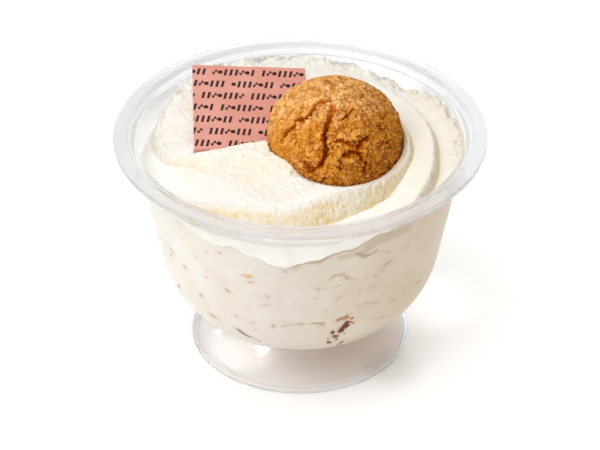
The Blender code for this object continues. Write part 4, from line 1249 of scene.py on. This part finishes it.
def crust(points):
    # relief in mm and five colour masks: plates, each tilted its own way, parted by grooves; smaller
    # flakes on them; a few pits; and the named cracks with ragged sides
    outward = points / np.linalg.norm(points, axis=-1)[..., None]
    warp = np.stack([Lumps(seed).layers(points, 2.0, 3) for seed in (51, 52, 53)], -1)
    near, second, tilt = Lumps(54).cells(points + 0.7 * warp, 2.8)
    fineNear, fineSecond, fineTilt = Lumps(55).cells(points + 0.5 * warp, 1.45)
    aside = 0.3 * np.abs(points[..., 0]) + 0.2 * points[..., 0]
    # lower grows towards the front, the right and the base: toast with painted shade, and more pits
    lower = np.clip((aside - points[..., 1] + 0.3 * (macaroon["dome"] - points[..., 2])) / 12, 0, 1)
    patchy = ease(-0.35, 0.4, Lumps(58).layers(points, 4.0, 2) + 0.3 * lower - 0.15)
    groove = ease(0.12, 0.01, second - near) * (0.35 + 0.65 * patchy)
    flaky = ease(-0.3, 0.4, Lumps(65).layers(points, 3.0, 2))
    fineGroove = ease(0.17, 0.03, fineSecond - fineNear) * flaky
    grain = Lumps(56).layers(points, 0.8, 2)
    swell = Lumps(57).layers(points, 8.0, 2)
    ragged = np.stack([Lumps(62).layers(points, 0.8, 2), Lumps(64).layers(points, 0.8, 2)], -1)
    wander = 0.3 * warp[..., :2] + 0.45 * ragged
    split, gloom = crackDepth(points[..., 0], points[..., 1], wander) * (points[..., 2] > 0.5)
    pits = ease(0.5, 0.64, Lumps(59).at(points, 0.95))
    pits = pits * ease(-0.2, 0.4, Lumps(63).at(points, 3.0) + 0.4 * lower)
    relief = 0.3 * swell + 0.1 * grain + 0.34 * tilt + 0.34 * fineTilt
    relief = relief - 0.36 * groove - 0.24 * fineGroove - 0.45 * pits - split
    light = 0.5 + 0.2 * grain + 0.3 * Lumps(60).layers(points, 2.4, 3) + 0.5 * tilt
    edge = np.maximum(0.9 * groove, 0.8 * fineGroove)
    deepGroove = 0.8 * groove * patchy * ease(0.0, 0.5, ragged[..., 1])
    # painted dark shade in the cracks, the deep grooves and the pits
    dark = np.maximum.reduce([gloom, deepGroove, 0.6 * pits])
    return points + outward * relief[..., None], {
        "light": np.clip(light, 0, 1), "edge": np.clip(edge, 0, 1), "dark": np.clip(dark, 0, 1),
        "toast": lower, "split": ease(0.05, 0.4, split)}


def almondMacaroon():
    # the crust's relief fades out towards the base, and the whole lies on the square's plane
    dome, rows = macaroonForm()
    flat = np.concatenate([dome.reshape(-1, 3), rows.reshape(-1, 3)])
    shaped, masks = crust(flat)
    fade = np.clip((flat[:, 2] + macaroon["underside"]) / 1.5, 0.12, 1)[:, None]
    placed = macaroonCentre() + (flat + (shaped - flat) * fade) @ np.array(squareAxes())
    top = dome[..., 0].size
    return closedForm("crackedMacaroon", placed[:top].reshape(dome.shape), placed[top:].reshape(rows.shape),
                      {label: (numbers, 0.3) for label, numbers in masks.items()})


def crustPaint():
    # tan plates with orange-brown edges, more toasted in front and low down, with painted shade there and
    # to the right; dark brown painted shade in the cracks, grooves and pits
    paint = Finish("crustPaint", (0.56, 0.24, 0.07), Roughness=0.9, Specular_IOR_Level=0.0)
    across = paint.axis(0)
    mottle = paint.noise(0.6, 3)
    colour = paint.ramp(paint.attribute("light") * 0.85 + mottle * 0.35 - 0.1, macaroon["plates"])
    # toast with painted shade: browner in front, to the right and low down
    toast = paint.attribute("toast") * 1.15 + paint.noise(5, 3).step(0.4, 0.75) * 0.3 - 0.1
    colour = paint.mix(colour, macaroon["toast"], toast.step(0, 1) * 0.72)
    spots = paint.noise(1.3, 4, 0.75)
    colour = paint.mix(colour, macaroon["spotDark"], spots.step(0.51, 0.64) * 0.75)
    colour = paint.mix(colour, macaroon["spotLight"], spots.step(0.46, 0.33) * 0.45)
    # dark pocks, painted as the shade of small pits, stronger to the right
    pocks = paint.noise(0.85, 3, 0.6).step(0.56, 0.63) * (across.step(-4, 20) * 0.7 + 0.3)
    colour = paint.mix(colour, macaroon["pockShade"], pocks * 0.8)
    # the edges' colour darkens to the right: painted shade
    edgeColour = paint.mix(macaroon["edgeLeft"], macaroon["edgeShadedRight"], across.step(0, 24))
    colour = paint.mix(colour, edgeColour, paint.attribute("edge") * (0.3 + 1.0 * mottle))
    # painted shade: darker to the right
    colour = paint.mix(colour, macaroon["rightPaintedShade"], across.step(9, 27), "MULTIPLY")
    colour = paint.mix(colour, macaroon["split"], paint.attribute("split") * 0.85)
    # painted dark shade in the recesses
    paint.set(Base_Color=paint.mix(colour, macaroon["dark"], paint.attribute("dark") * 0.95))
    paint.bump(paint.noise(0.6, 3, 0.65) * 0.6 + paint.noise(1.3, 3, 0.6) * 0.4, 0.3, 0.8)
    return paint.material


dress(almondMacaroon(), crustPaint(), "macaroon_crust", "almond_macaroon")
print("macaroon made")
